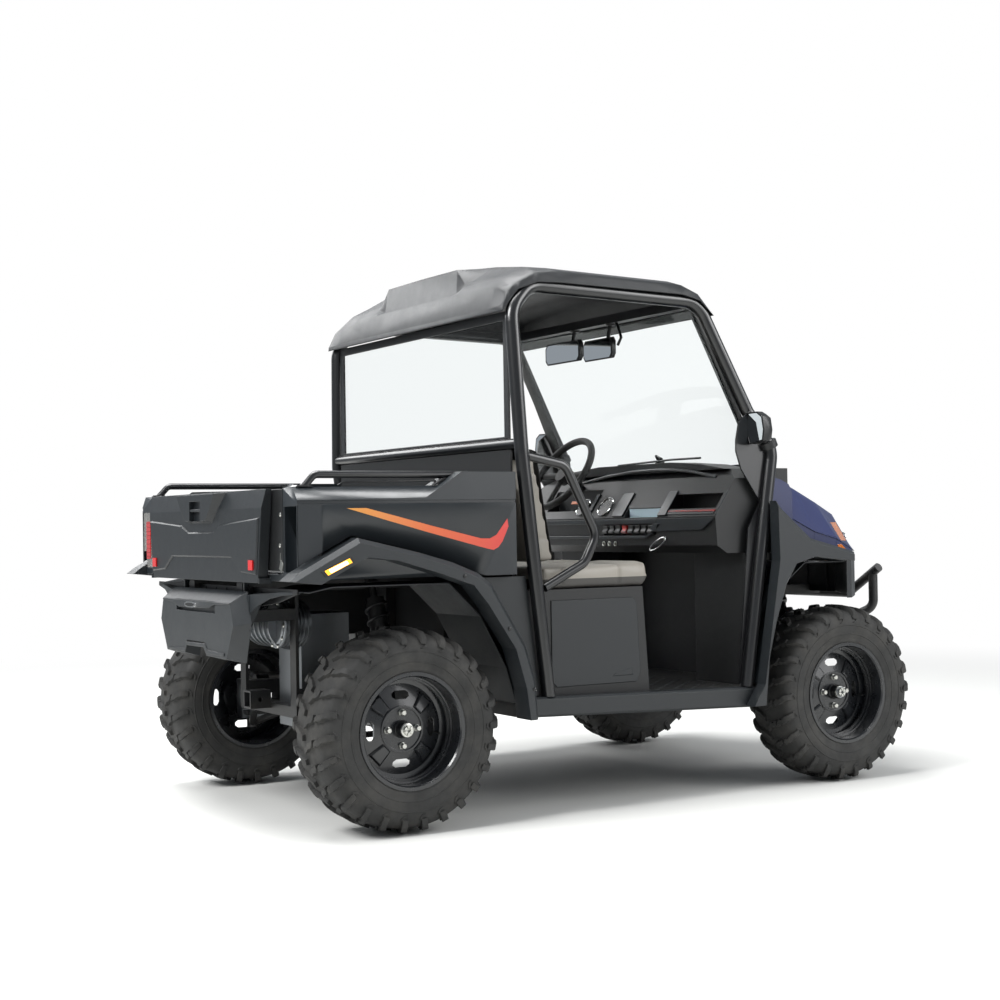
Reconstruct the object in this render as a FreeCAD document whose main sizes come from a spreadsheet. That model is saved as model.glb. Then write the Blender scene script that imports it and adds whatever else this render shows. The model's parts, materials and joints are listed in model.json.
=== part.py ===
import FreeCAD, Part
import math
import os
import Sketcher
from FreeCAD import Placement, Rotation, Vector

# Side by side utility vehicle: two seats, open cab sides, tilting cargo bed.
# Millimetres. X runs forward, Y to the left, Z up from the ground under the middle.
# Outlines are drawn for the right side (negative Y) and mirrored to the left.

os.makedirs("parts", exist_ok=True)
doc = FreeCAD.newDocument("side_by_side")
sheet = doc.addObject("Spreadsheet::Sheet", "Sizes")
parts = {}
sheet_rows = []


# A length that carries its value and its formula over the sheet's names
class Size:
    def __init__(self, value, formula):
        self.value = float(value)
        self.formula = formula

    def __float__(self):
        return self.value

    def __add__(self, other):
        return joined(self, "+", other)

    def __radd__(self, other):
        return joined(other, "+", self)

    def __sub__(self, other):
        return joined(self, "-", other)

    def __rsub__(self, other):
        return joined(other, "-", self)

    def __mul__(self, other):
        return joined(self, "*", other)

    def __rmul__(self, other):
        return joined(other, "*", self)

    def __truediv__(self, other):
        return joined(self, "/", other)

    def __neg__(self):
        return joined(0, "-", self)


def formula_of(length):
    return length.formula if isinstance(length, Size) else repr(float(length))


def joined(left, sign, right):
    a = float(left)
    b = float(right)
    results = {"+": a + b, "-": a - b, "*": a * b, "/": a / b if b else 0.0}
    return Size(results[sign], f"({formula_of(left)} {sign} {formula_of(right)})")


def size(name, value):
    row = len(sheet_rows) + 1
    sheet_rows.append(name)
    sheet.set(f"A{row}", name)
    sheet.set(f"B{row}", str(value))
    sheet.setAlias(f"B{row}", name)
    return Size(value, f"Sizes.{name}")


# Outline points kept in the sheet: rows of (name, along, up) measured from two datums
def outline(prefix, along_datum, up_datum, rows):
    points = []
    for name, along, up in rows:
        points.append((along_datum + size(f"{prefix}_{name}_x", along),
                       up_datum + size(f"{prefix}_{name}_z", up)))
    return points


# Rows of named values kept in the sheet, one name per axis
def table(prefix, axes, rows):
    return [tuple(size(f"{prefix}_{name}_{axis}", value) for axis, value in zip(axes, values))
            for name, *values in rows]


def origin_plane(body, role):
    return [item for item in body.Origin.OriginFeatures if item.Role == role][0]


def bind(item, path, length):
    item.setExpression(path, formula_of(length))


def new_body(label):
    body = doc.addObject("PartDesign::Body", label)
    body.Label = label
    return body


def sketch_on(body, role, start, name):
    sketch = body.newObject("Sketcher::SketchObject", name)
    sketch.AttachmentSupport = [(origin_plane(body, role), "")]
    sketch.MapMode = "FlatFace"
    sketch.AttachmentOffset = Placement(Vector(0, 0, float(start)), Rotation())
    bind(sketch, "AttachmentOffset.Base.z", start)
    return sketch


def draw_polygon(sketch, points):
    first = sketch.GeometryCount
    count = len(points)
    for index in range(count):
        here = points[index]
        there = points[(index + 1) % count]
        line = Part.LineSegment(Vector(float(here[0]), float(here[1]), 0),
                                Vector(float(there[0]), float(there[1]), 0))
        sketch.addGeometry(line)
    for index in range(count):
        sketch.addConstraint(Sketcher.Constraint("Coincident", first + index, 2,
                                                 first + (index + 1) % count, 1))
    for index, point in enumerate(points):
        for kind, length in zip(("DistanceX", "DistanceY"), point):
            number = sketch.addConstraint(Sketcher.Constraint(kind, first + index, 1, float(length)))
            bind(sketch, f"Constraints[{number}]", length)


def draw_circle(sketch, centre, radius):
    number = sketch.addGeometry(Part.Circle(Vector(float(centre[0]), float(centre[1]), 0),
                                            Vector(0, 0, 1), float(radius)))
    for kind, length in zip(("DistanceX", "DistanceY"), centre):
        place = sketch.addConstraint(Sketcher.Constraint(kind, number, 3, float(length)))
        bind(sketch, f"Constraints[{place}]", length)
    round_size = sketch.addConstraint(Sketcher.Constraint("Radius", number, float(radius)))
    bind(sketch, f"Constraints[{round_size}]", radius)


# A prism on an origin plane, from start along the plane's normal
def pad(body, role, loops, start, length, name="pad"):
    sketch = sketch_on(body, role, start, f"{name}_sketch")
    draw_loops(sketch, loops)
    feature = body.newObject("PartDesign::Pad", name)
    feature.Profile = sketch
    feature.Length = float(length)
    bind(feature, "Length", length)
    return feature


def pocket(body, role, loops, start, length, name="pocket"):
    doc.recompute()
    before = body.Shape.Volume
    sketch = sketch_on(body, role, start, f"{name}_sketch")
    draw_loops(sketch, loops)
    feature = body.newObject("PartDesign::Pocket", name)
    feature.Profile = sketch
    feature.Length = float(length)
    bind(feature, "Length", length)
    feature.Reversed = True
    doc.recompute()
    if not body.Shape.Volume < before:
        raise RuntimeError(f"{body.Label}: {name} cuts nothing")
    return feature


def draw_loops(sketch, loops):
    for loop in loops:
        if isinstance(loop, dict):
            draw_circle(sketch, loop["centre"], loop["radius"])
        else:
            draw_polygon(sketch, loop)


def revolve(body, points, name="revolve"):
    sketch = sketch_on(body, "XY_Plane", Size(0, "0"), f"{name}_sketch")
    draw_polygon(sketch, points)
    feature = body.newObject("PartDesign::Revolution", name)
    feature.Profile = sketch
    feature.ReferenceAxis = (sketch, ["V_Axis"])
    feature.Angle = 360
    return feature


def edge_names(shape, wanted):
    names = []
    for number, edge in enumerate(shape.Edges, 1):
        middle = edge.valueAt((edge.FirstParameter + edge.LastParameter) / 2)
        direction = edge.tangentAt(edge.FirstParameter)
        if wanted(middle, direction):
            names.append(f"Edge{number}")
    return names


def soften(body, kind, wanted, length, name):
    doc.recompute()
    tip = body.Tip
    feature = body.newObject(f"PartDesign::{kind}", name)
    feature.Base = (tip, edge_names(tip.Shape, wanted))
    path = "Size" if kind == "Chamfer" else "Radius"
    setattr(feature, path, float(length))
    bind(feature, path, length)
    doc.recompute()
    return feature


def place(item, x=0, y=0, z=0):
    item.Placement = Placement(Vector(float(x), float(y), float(z)), item.Placement.Rotation)
    for axis, length in zip("xyz", (x, y, z)):
        if isinstance(length, Size):
            bind(item, f"Placement.Base.{axis}", length)


# Picks the outer edges over the sides of an outline, counted from its first point
def outer_sides(points, wanted, outer):
    middles = [((float(points[n][0]) + float(points[(n + 1) % len(points)][0])) / 2,
                (float(points[n][1]) + float(points[(n + 1) % len(points)][1])) / 2) for n in wanted]
    return lambda middle, way: abs(middle.y + float(outer)) < 0.5 and any(
        abs(middle.x - x) < 1 and abs(middle.z - z) < 1 for x, z in middles)


# The right-hand solid and its mirror image as one sub-part
def pair(label, right):
    right.Label = f"{label}_right"
    left = doc.addObject("Part::Mirroring", f"{label}_left")
    left.Source = right
    left.Normal = Vector(0, 1, 0)
    both = doc.addObject("Part::Compound", label)
    both.Links = [right, left]
    both.Label = label
    parts[label] = both
    return both


def keep(label, item):
    item.Label = label
    parts[label] = item
    return item


def box(label, x, y, z):
    item = doc.addObject("Part::Box", label)
    for path, (low, high) in zip(("Length", "Width", "Height"), (x, y, z)):
        setattr(item, path, float(high - low))
        bind(item, path, high - low)
    place(item, x[0], y[0], z[0])
    return item


def fuse(label, items):
    item = doc.addObject("Part::MultiFuse", label)
    item.Shapes = items
    item.Refine = True
    return item


def cut(label, base, tool):
    item = doc.addObject("Part::Cut", label)
    item.Base = base
    item.Tool = tool
    return item


def solid(label, shape):
    item = doc.addObject("Part::Feature", label)
    item.Shape = shape
    return item


def vector(point):
    return Vector(float(point[0]), float(point[1]), float(point[2]))


# Straight runs joined by tangent arcs, swept with a round section
def tube_shape(points, diameter, bend, bore=0):
    nodes = [vector(point) for point in points]
    edges = []
    start = nodes[0]
    for before, corner, after in zip(nodes, nodes[1:], nodes[2:]):
        inward = (corner - before).normalize()
        outward = (after - corner).normalize()
        turn = inward.getAngle(outward)
        reach = float(bend) * math.tan(turn / 2)
        entry = corner - inward * reach
        leave = corner + outward * reach
        side = (outward - inward).normalize()
        middle = corner + side * (float(bend) / math.cos(turn / 2) - float(bend))
        edges.append(Part.makeLine(start, entry))
        edges.append(Part.Arc(entry, middle, leave).toShape())
        start = leave
    edges.append(Part.makeLine(start, nodes[-1]))
    path = Part.Wire(edges)
    direction = nodes[1] - nodes[0]
    shapes = []
    for across in (float(diameter), float(bore)):
        if across:
            circle = Part.Wire([Part.makeCircle(across / 2, nodes[0], direction)])
            shapes.append(path.makePipeShell([circle], True, True))
    return shapes[0] if len(shapes) == 1 else shapes[0].cut(shapes[1])


def mirrored(shape):
    return shape.mirror(Vector(0, 0, 0), Vector(0, 1, 0))


def both_sides(shape):
    return [shape, mirrored(shape)]


# Ruled skin through straight-sided sections
def loft_shape(sections):
    wires = []
    for section in sections:
        corners = [vector(point) for point in section]
        wires.append(Part.makePolygon(corners + corners[:1]))
    return Part.makeLoft(wires, True, True)


# Driving dimensions
wheel_base = size("wheel_base", 1900)
rear_overhang = size("rear_overhang", 455)
front_overhang = size("front_overhang", 520)
overall_height = size("overall_height", 1966)
tyre_radius = size("tyre_radius", 340)
rim_radius = size("rim_radius", 194)
rear_tyre_width = size("rear_tyre_width", 270)
front_tyre_width = size("front_tyre_width", 230)
rear_half_track = size("rear_half_track", 660)
front_half_track = size("front_half_track", 675)
running_fit = size("running_fit", 0.05)
seat_gap = size("seat_gap", 0.3)
body_half_width = size("body_half_width", 745)
flare_half_width = size("flare_half_width", 805)
panel_wall = size("panel_wall", 4)
ground = Size(0, "0")
rim_wall = size("rim_wall", 4)
rim_lip = size("rim_lip", 12)

rear_x = rear_overhang - (rear_overhang + wheel_base + front_overhang) / 2
front_x = rear_x + wheel_base
axle_z = tyre_radius


bead_share = size("tyre_bead_share", 0.88)
lug_height = size("lug_height", 14)
lug_overhang = size("lug_overhang", 5)
lug_width = size("lug_width", 34)
lug_sweep = size("lug_sweep", 30)
lug_near = size("lug_near", 6)
lug_count = 20


# Tyre section turned about the axle with two rows of slanting lugs
def tyre(label, width, half_track, axle_x, side):
    shoulder = size(f"{label}_shoulder", 34)
    bead_half = width * bead_share / 2
    seat_radius = rim_radius - rim_lip + seat_gap
    crown = tyre_radius - lug_height
    body = new_body(label)
    half = width / 2 - lug_overhang
    revolve(body, [(seat_radius, -bead_half), (rim_radius, -bead_half), (rim_radius + shoulder, -half),
                   (crown - shoulder, -half), (crown, shoulder * 1.2 - half), (crown, half - shoulder * 1.2),
                   (crown - shoulder, half), (rim_radius + shoulder, half), (rim_radius, bead_half),
                   (seat_radius, bead_half)])
    place(body, axle_x, half_track * side, axle_z)
    lugs = lug_rows(f"{label}_lugs", width, crown - shoulder)
    place(lugs, axle_x, half_track * side, axle_z)
    whole = fuse(f"{label}_with_lugs", [body, lugs])
    whole.Refine = False
    return keep(label, whole)


# Slanting blocks round the tread, the inner row half a pitch behind the outer one
def lug_rows(label, width, foot):
    near = float(lug_near)
    far = float(width) / 2 - 1
    half = float(lug_width) / 2
    sweep = float(lug_sweep)
    top = float(tyre_radius) - 1
    pitch = 360 / lug_count
    blocks = []
    for end, turn in ((1, 0), (-1, pitch / 2)):
        corners = [(-half, near), (half, near), (half + sweep, far), (sweep - half, far)]
        points = [Vector(x, y * end, float(foot)) for x, y in corners]
        block = Part.Face(Part.makePolygon(points + points[:1])).extrude(Vector(0, 0, top - float(foot)))
        for number in range(lug_count):
            blocks.append(block.rotated(Vector(), Vector(0, 1, 0), number * pitch + turn))
    return solid(label, Part.makeCompound(blocks))


hub_bore_radius = size("hub_bore_radius", 22)
stud_circle = size("stud_circle_radius", 55)
dish_depth = size("dish_depth", 95)
disc_radius = size("disc_radius", 150)
hub_flat = size("hub_flat_radius", 77)
slot_circle = size("slot_circle_radius", 113)
slot_half = size("slot_half_length", 32)
slot_wide = size("slot_half_width", 14)
slot_corners = [(-1, -0.4), (-0.6, -1), (0.6, -1), (1, -0.4), (1, 0.4), (0.6, 1), (-0.6, 1), (-1, 0.4)]


# Pressed steel wheel: deep outer dish, hub disc and four slots
def rim(label, width, half_track, axle_x, side):
    body = new_body(label)
    half = width * bead_share / 2 + seat_gap + rim_wall
    barrel = rim_radius - rim_lip - rim_wall
    disc_in = half - dish_depth
    points = [(rim_radius, -half), (rim_radius, rim_wall - half), (barrel + rim_wall, rim_wall - half),
              (barrel + rim_wall, half - rim_wall), (rim_radius, half - rim_wall), (rim_radius, half),
              (barrel + rim_wall, half), (barrel, half - rim_lip / 2), (barrel, disc_in),
              (disc_radius, disc_in - rim_wall), (hub_flat, disc_in + rim_wall * 3),
              (hub_bore_radius, disc_in + rim_wall * 3), (hub_bore_radius, disc_in + rim_wall * 2),
              (hub_flat, disc_in + rim_wall * 2), (disc_radius, disc_in - rim_wall * 2),
              (barrel, disc_in - rim_wall), (barrel, rim_lip / 2 - half), (barrel + rim_wall, -half)]
    revolve(body, [(radial, axial * side) for radial, axial in points])
    slots = []
    for quarter in range(4):
        angle = math.radians(90 * quarter)
        slots.append([(slot_circle * math.cos(angle) + along * slot_half * -math.sin(angle)
                       + out * slot_wide * math.cos(angle),
                       slot_circle * math.sin(angle) + along * slot_half * math.cos(angle)
                       + out * slot_wide * math.sin(angle)) for along, out in slot_corners])
    middle = disc_in * -side - rim_wall * 4
    pocket(body, "XZ_Plane", slots, middle, rim_wall * 8, "slots")
    place(body, axle_x, half_track * side, axle_z)
    return keep(label, body)


corners = [("rear_right", rear_tyre_width, rear_half_track, rear_x, -1),
           ("rear_left", rear_tyre_width, rear_half_track, rear_x, 1),
           ("front_right", front_tyre_width, front_half_track, front_x, -1),
           ("front_left", front_tyre_width, front_half_track, front_x, 1)]
for name, width, half_track, axle_x, side in corners:
    if side < 0:
        right_tyre = tyre(f"tyre_{name}", width, half_track, axle_x, side)
    else:
        left_tyre = doc.addObject("Part::Mirroring", f"tyre_{name}")
        left_tyre.Source = right_tyre
        left_tyre.Normal = Vector(0, 1, 0)
        keep(f"tyre_{name}", left_tyre)
    rim(f"rim_{name}", width, half_track, axle_x, side)

# Ladder frame under the floor, bed rails at the back and a raised box at the front
rail_centre = size("rail_centre", 230)
rail_side = size("rail_side", 50)
rail_base = size("rail_base", 330)
floor_under = size("floor_under", 385)
floor_wall = size("floor_wall", 4)
bed_under = size("bed_under", 838)
bed_rail_base = bed_under - size("bed_rail_depth", 48)
cab_half_width = size("cab_half_width", 690)
cab_rear = size("cab_rear_setback", 450)
cab_front = size("cab_front_setback", 232)
cross_side = size("cross_member_side", 40)
hinge_setback = size("bed_hinge_setback", 362)
hinge_z = size("bed_hinge_height", 812)
hinge_pin_radius = size("hinge_pin_radius", 8)
tail_frame = size("tail_frame_setback", 180)
front_frame = size("front_frame_reach", 300)
tower_reach = size("front_tower_reach", 150)
tower_top = size("front_tower_top", 700)
rear_rail_base = size("rear_rail_base", 395)
arm_spread = size("arm_spread", 120)
bumper_inner = size("bumper_inner_setback", 395)
nose_inner = size("nose_inner_reach", 337)
gearcase_front = size("gearcase_front", 100)
rack_setback = size("rack_setback", 120)
rack_radius = size("rack_radius", 14)
rack_z = size("rack_height", 285)
rack_housing = size("rack_housing_length", 360)
rail_in = rail_centre - rail_side / 2
rail_out = rail_centre + rail_side / 2
rail_top = rail_base + rail_side
cab_back_x = rear_x + cab_rear
cab_nose_x = front_x - cab_front
floor_top = floor_under + floor_wall
hinge_x = rear_x - hinge_setback


def both_boxes(label, x, y, z):
    inner, outer = y
    return [box(f"{label}_right", x, (-outer, -inner), z), box(f"{label}_left", x, (inner, outer), z)]


def cylinder(label, radius, length, start, axis):
    item = doc.addObject("Part::Cylinder", label)
    item.Radius = float(radius)
    item.Height = float(length)
    bind(item, "Radius", radius)
    bind(item, "Height", length)
    turns = {"X": Rotation(Vector(0, 1, 0), 90), "Y": Rotation(Vector(1, 0, 0), -90), "Z": Rotation()}
    item.Placement = Placement(Vector(), turns[axis])
    place(item, *start)
    return item


def main_frame():
    bottom = floor_under - cross_side
    pieces = both_boxes("rail", (cab_back_x - cross_side, front_x + front_frame), (rail_in, rail_out),
                        (rail_base, rail_top))
    pieces += both_boxes("rear_rail", (rear_x - tail_frame, cab_back_x), (rail_in, rail_out),
                         (rear_rail_base, rear_rail_base + rail_side))
    for name, x in (("back", rear_x - arm_spread), ("front", rear_x + arm_spread)):
        pieces += both_boxes(f"arm_bracket_{name}", (x - 25, x + 25), (rail_in, rail_out),
                             (rail_base, rear_rail_base))
    stations = [("tail", rear_x - tail_frame, rail_in), ("back", cab_back_x, cab_half_width),
                ("seat", rear_x + wheel_base / 2, cab_half_width),
                ("pedal", front_x - 440, cab_half_width), ("nose", front_x + front_frame - cross_side, rail_in)]
    for name, x, half in stations:
        pieces.append(box(f"cross_{name}", (x, x + cross_side), (-half, half), (bottom, floor_under)))
    pieces += both_boxes("cab_post", (cab_back_x - cross_side, cab_back_x), (rail_in, rail_out),
                         (rail_base, bed_under - seat_gap))
    pieces += both_boxes("bed_rail", (hinge_x + 10, cab_back_x), (rail_in, rail_out),
                         (bed_rail_base, bed_under - seat_gap))
    pieces += both_boxes("hinge_ear", (hinge_x - 14, hinge_x + 10), (rail_in, rail_out),
                         (bed_rail_base, hinge_z + 14))
    pieces += both_boxes("tail_post", (rear_x - tail_frame, rear_x - tail_frame + 12), (rail_in, rail_out),
                         (bottom, bed_under - seat_gap))
    pieces.append(box("bed_cross", (rear_x, rear_x + cross_side), (-rail_in, rail_in),
                      (bed_rail_base, bed_rail_base + cross_side)))
    for name, x in (("rear", front_x - tower_reach), ("front", front_x + tower_reach - cross_side)):
        pieces += both_boxes(f"tower_{name}", (x, x + cross_side), (rail_in, rail_out), (rail_base, tower_top))
        pieces.append(box(f"tower_cross_{name}", (x, x + cross_side), (-rail_in, rail_in),
                          (tower_top - cross_side, tower_top)))
    pieces += both_boxes("tower_rail", (front_x - tower_reach, front_x + tower_reach), (rail_in, rail_out),
                         (tower_top - cross_side, tower_top))
    pieces += both_boxes("bumper_bracket", (rear_x - bumper_inner + seat_gap, rear_x - tail_frame),
                         (rail_in, rail_out), (size("bracket_low", 690), size("bracket_high", 730)))
    pieces += both_boxes("nose_bracket", (front_x + tower_reach - cross_side, front_x + nose_inner - seat_gap),
                         (rail_in, rail_out), (tower_top, tower_top + cross_side))
    pieces.append(box("cross_engine", (rear_x + gearcase_front + seat_gap, rear_x + gearcase_front + cross_side),
                      (-rail_in, rail_in), (bottom, floor_under)))
    pieces.append(box("cross_rack", (front_x - rack_setback - 20, front_x - rack_setback + 20),
                      (-rail_in, rail_in), (bottom, floor_under)))
    housing = cylinder("rack_housing", rack_radius + 10, rack_housing, (front_x - rack_setback, -rack_housing / 2,
                                                                      rack_z), "Y")
    hangers = both_boxes("rack_hanger", (front_x - rack_setback - 10, front_x - rack_setback + 10),
                         (rack_housing / 2 - 30, rack_housing / 2 - 10), (rack_z, bottom))
    bore = cylinder("rack_bore", rack_radius + running_fit, rack_housing + 2,
                    (front_x - rack_setback, -rack_housing / 2 - 1, rack_z), "Y")
    pieces.append(cut("rack_mount", fuse("rack_carrier", [housing] + hangers), bore))
    pin_reach = rail_out + 45
    for name, start in (("right", -pin_reach), ("left", rail_in)):
        pieces.append(cylinder(f"hinge_pin_{name}", hinge_pin_radius, pin_reach - rail_in,
                               (hinge_x, start, hinge_z), "Y"))
    keep("main_frame", fuse("main_frame", pieces))


# Floor pan with a raised toe board and the stepped wall ahead of the footwell
arch_inner = size("arch_inner_half_width", 385)
arch_back = size("front_arch_setback", 420)
dash_under = size("dash_under", 890)


def floor_and_wall():
    body = new_body("floor_pan")
    pad(body, "XY_Plane", [[(cab_back_x, -cab_half_width), (front_x - arch_back, -cab_half_width),
                            (front_x - arch_back, -arch_inner), (cab_nose_x, -arch_inner),
                            (cab_nose_x, arch_inner), (front_x - arch_back, arch_inner),
                            (front_x - arch_back, cab_half_width), (cab_back_x, cab_half_width)]],
        floor_under, floor_wall)
    keep("floor_pan", body)
    wall = new_body("firewall")
    outer = [(front_x - arch_back, -cab_half_width), (front_x - arch_back, -arch_inner),
             (cab_nose_x, -arch_inner), (cab_nose_x, arch_inner), (front_x - arch_back, arch_inner),
             (front_x - arch_back, cab_half_width)]
    t = panel_wall
    inner = [(front_x - arch_back - t, cab_half_width), (front_x - arch_back - t, arch_inner - t),
             (cab_nose_x - t, arch_inner - t), (cab_nose_x - t, t - arch_inner),
             (front_x - arch_back - t, t - arch_inner), (front_x - arch_back - t, -cab_half_width)]
    pad(wall, "XY_Plane", [outer + inner], floor_top, dash_under - seat_gap - floor_top)
    keep("firewall", wall)


# Sills under the door openings
sill_back = outline("sill_back", rear_x, ground, [("top", 500, 414), ("low", 480, 345)])
sill_front = outline("sill_front", front_x, ground, [("top", -430, 388), ("low", -420, 313)])
sill_line = [sill_back[0], sill_front[0], sill_front[1], sill_back[1]]
sill_edge = size("sill_edge", 8)


def sills():
    body = new_body("sill")
    pad(body, "XZ_Plane", [sill_line], cab_half_width + seat_gap, body_half_width - cab_half_width)
    soften(body, "Chamfer", outer_sides(sill_line, [0, 2], body_half_width + seat_gap), sill_edge, "edge")
    pair("sills", body)


# Roll cage: a bent hoop each side, from the rear foot over the roof to the front foot
cage_tube = size("cage_tube", 50)
cage_bend = size("cage_bend", 110)
cross_tube = size("cage_cross_tube", 38)


def cab_cage():
    hoop = hoop_points()
    sill_top = [vector((x, -800, z + seat_gap)) for x, z in (sill_line[0], sill_line[1])]
    foot_tool = [sill_top[0] - Vector(200, 0, 0), sill_top[0], sill_top[1], sill_top[1] + Vector(200, 0, 0)]
    foot_tool += [point - Vector(0, 0, 200) for point in reversed(foot_tool)]
    below = Part.Face(Part.makePolygon(foot_tool + foot_tool[:1])).extrude(Vector(0, 200, 0))
    plate = [Vector(float(x), -float(gusset_y), float(z)) for x, z in gusset_line]
    gusset = Part.Face(Part.makePolygon(plate + plate[:1])).extrude(Vector(0, -float(gusset_wall), 0))
    shapes = both_sides(tube_shape(hoop, cage_tube, cage_bend).fuse(gusset).cut(below))
    for x, y, z in cross_line:
        shapes.append(Part.makeCylinder(float(cross_tube) / 2, 2 * float(y), vector((x, -y, z)), Vector(0, 1, 0)))
    shapes.append(Part.makeBox(float(header_deep), 2 * float(header_half), float(header_high),
                               vector((header_x, -header_half, header_z))))
    keep("cab_cage", solid("cab_cage", shapes[0].multiFuse(shapes[1:])))


def cage_points():
    back = table("cage", "xyz", [("foot", 566, 722, 389), ("belt", 462, 735, 1262)])
    top = table("cage", "xyz", [("shoulder", 450, 700, -206), ("crown", 540, 672, -116)])
    brow = table("cage", "xyz", [("brow", -610, 664, -134)])
    front = table("cage", "xyz", [("pillar", -395, 684, 1425), ("mirror", -302, 712, 1283), ("knee", -370, 718, 900),
                                  ("toe", -450, 718, 389)])
    line = [(rear_x + x, y, z) for x, y, z in back]
    line += [(rear_x + x, y, overall_height + z) for x, y, z in top]
    line += [(front_x + x, y, overall_height + z) for x, y, z in brow]
    return line + [(front_x + x, y, z) for x, y, z in front]


def cage_cross_points():
    low, high = table("cross", "xyz", [("low", 459, 730, 1290), ("high", 490, 684, -161)])
    return [(rear_x + low[0], low[1], low[2]), (rear_x + high[0], high[1], overall_height + high[2])]


# The hoop's corner points on the right side
def hoop_points():
    return [(x, -y, z) for x, y, z in cage_line]


cage_line = cage_points()
cross_line = cage_cross_points()
header_x = front_x + size("header_x", -664)
header_z = overall_height + size("header_z", -158)
header_half = size("header_half", 650)
header_deep = size("header_depth", 44)
header_high = size("header_height", 34)
gusset_y = size("gusset_y", 700)
gusset_wall = size("gusset_wall", 8)
gusset_line = outline("gusset", front_x, ground, [
    ("pillar", -400, 1430), ("shoulder", -455, 1385), ("back", -470, 1316), ("waist", -471, 1274),
    ("hip", -448, 1207), ("elbow", -359, 1082), ("channel", -420, 984), ("foot", -477, 402), ("toe", -443, 402),
    ("shin", -370, 888), ("knee", -340, 1080), ("mirror", -305, 1250), ("brow", -330, 1330)])

# Moulded roof: rear skirt over the hoops, upright scoop plate and a raised middle
roof_wall = size("roof_wall", 4)
hoop_gap = size("hoop_gap", 1)


def roof_panel():
    axes = ("x", "low_y", "low_z", "side_y", "side_z", "top_y", "top_z", "cheek_y", "cheek_z", "mid_y", "mid_z",
            "crown")
    back = table("roof", axes, [
        ("lip", 412, 706, -218, 702, -202, 600, -200, 340, -198, 285, -198, -198),
        ("tail", 440, 706, -182, 698, -144, 600, -120, 340, -114, 285, -113, -113),
        ("step_low", 468, 706, -148, 694, -118, 600, -90, 340, -86, 285, -104, -104),
        ("step_high", 478, 706, -138, 693, -110, 600, -82, 340, -76, 275, -11, -9),
        ("hump", 560, 704, -108, 690, -72, 600, -40, 420, -16, 290, -4, 0),
        ("plateau", 660, 702, -104, 688, -62, 600, -38, 480, -20, 300, -4, 0)])
    front = table("roof", axes, [
        ("front", -700, 700, -114, 686, -78, 600, -52, 480, -36, 300, -26, -22),
        ("brow", -620, 698, -132, 682, -106, 600, -88, 480, -76, 300, -68, -64),
        ("curl", -555, 694, -184, 678, -170, 600, -160, 480, -154, 300, -150, -148)])
    rows = [(rear_x + row[0],) + row[1:] for row in back] + [(front_x + row[0],) + row[1:] for row in front]
    outer = [roof_section(row, 0, 0) for row in rows]
    inner = [roof_section(row, roof_wall, roof_wall if index < len(back) else -roof_wall)
             for index, row in enumerate(rows)]
    shell = loft_shape(outer).cut(loft_shape(inner))
    hoop = tube_shape(hoop_points(), cage_tube + hoop_gap * 2, cage_bend)
    shell = shell.cut(Part.makeCompound(both_sides(hoop)))
    keep("roof_panel", solid("roof_panel", max(shell.Solids, key=lambda one: one.Volume)))


def roof_section(row, inset, shift):
    x = row[0] + shift
    pairs = [(row[1], row[2]), (row[3], row[4]), (row[5], row[6]), (row[7], row[8]), (row[9], row[10])]
    right = []
    for index, (y, z) in enumerate(pairs):
        drop = inset if index else inset * 10
        right.append((x, inset - y, overall_height + z - drop))
    left = [(x, -y, z) for x, y, z in reversed(right)]
    return right + [(x, 0, overall_height + row[11] - inset)] + left


# Windscreen, curved in plan, and the flat rear window
glass_wall = size("glass_wall", 5)


def windscreen():
    base, top = table("screen", ("side_x", "half", "middle_x", "z"), [("base", -328, 668, -200, 1212),
                                                                      ("top", -612, 632, -582, -161)])
    wires = [screen_wire(base[0], base[1], base[2], base[3]),
             screen_wire(top[0], top[1], top[2], overall_height + top[3])]
    keep("windshield", solid("windshield", Part.makeLoft(wires, True, True)))


def screen_wire(side_x, half, middle_x, z):
    front = [vector((front_x + side_x, -half, z)), vector((front_x + middle_x, 0, z)),
             vector((front_x + side_x, half, z))]
    back = [point - Vector(float(glass_wall), 0, 0) for point in front]
    return Part.Wire([Part.Arc(*front).toShape(), Part.makeLine(front[2], back[2]),
                      Part.Arc(*reversed(back)).toShape(), Part.makeLine(back[0], front[0])])


window_half = size("window_half", 650)
window_low = size("window_low", 1309.3)
window_high = overall_height + size("window_top", -234)
window_border = size("window_border", 22)


def rectangle(half, low, high):
    return [(-half, low), (half, low), (half, high), (-half, high)]


def rear_window():
    frame = new_body("rear_window_frame")
    lip = panel_wall * 2
    pad(frame, "YZ_Plane", [rectangle(window_half + window_border, window_low, window_high + window_border),
                            rectangle(window_half - lip, window_low + lip, window_high - lip)],
        cab_back_x, lip)
    keep("rear_window_frame", frame)
    glass = new_body("rear_window")
    pad(glass, "YZ_Plane", [rectangle(window_half, window_low + lip, window_high)],
        cab_back_x + lip + seat_gap, glass_wall)
    keep("rear_window", glass)
    panel = new_body("rear_cab_panel")
    pad(panel, "YZ_Plane", [rectangle(cab_half_width - 10, floor_top, size("rear_panel_high", 1270.7))],
        cab_back_x, lip)
    keep("rear_cab_panel", panel)


# Seat box with the battery block inside it, cushion and backrest
seat_back_x = size("seat_box_back", 478)
seat_front_x = size("seat_box_front", 1000)
seat_box_top = size("seat_box_top", 780)
seat_box_wall = size("seat_box_wall", 5)
cushion_depth = size("cushion_depth", 470)
cushion_height = size("cushion_height", 92)
back_lean = size("backrest_lean", 60)
back_height = size("backrest_height", 400)
back_thick = size("backrest_thickness", 80)


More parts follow.
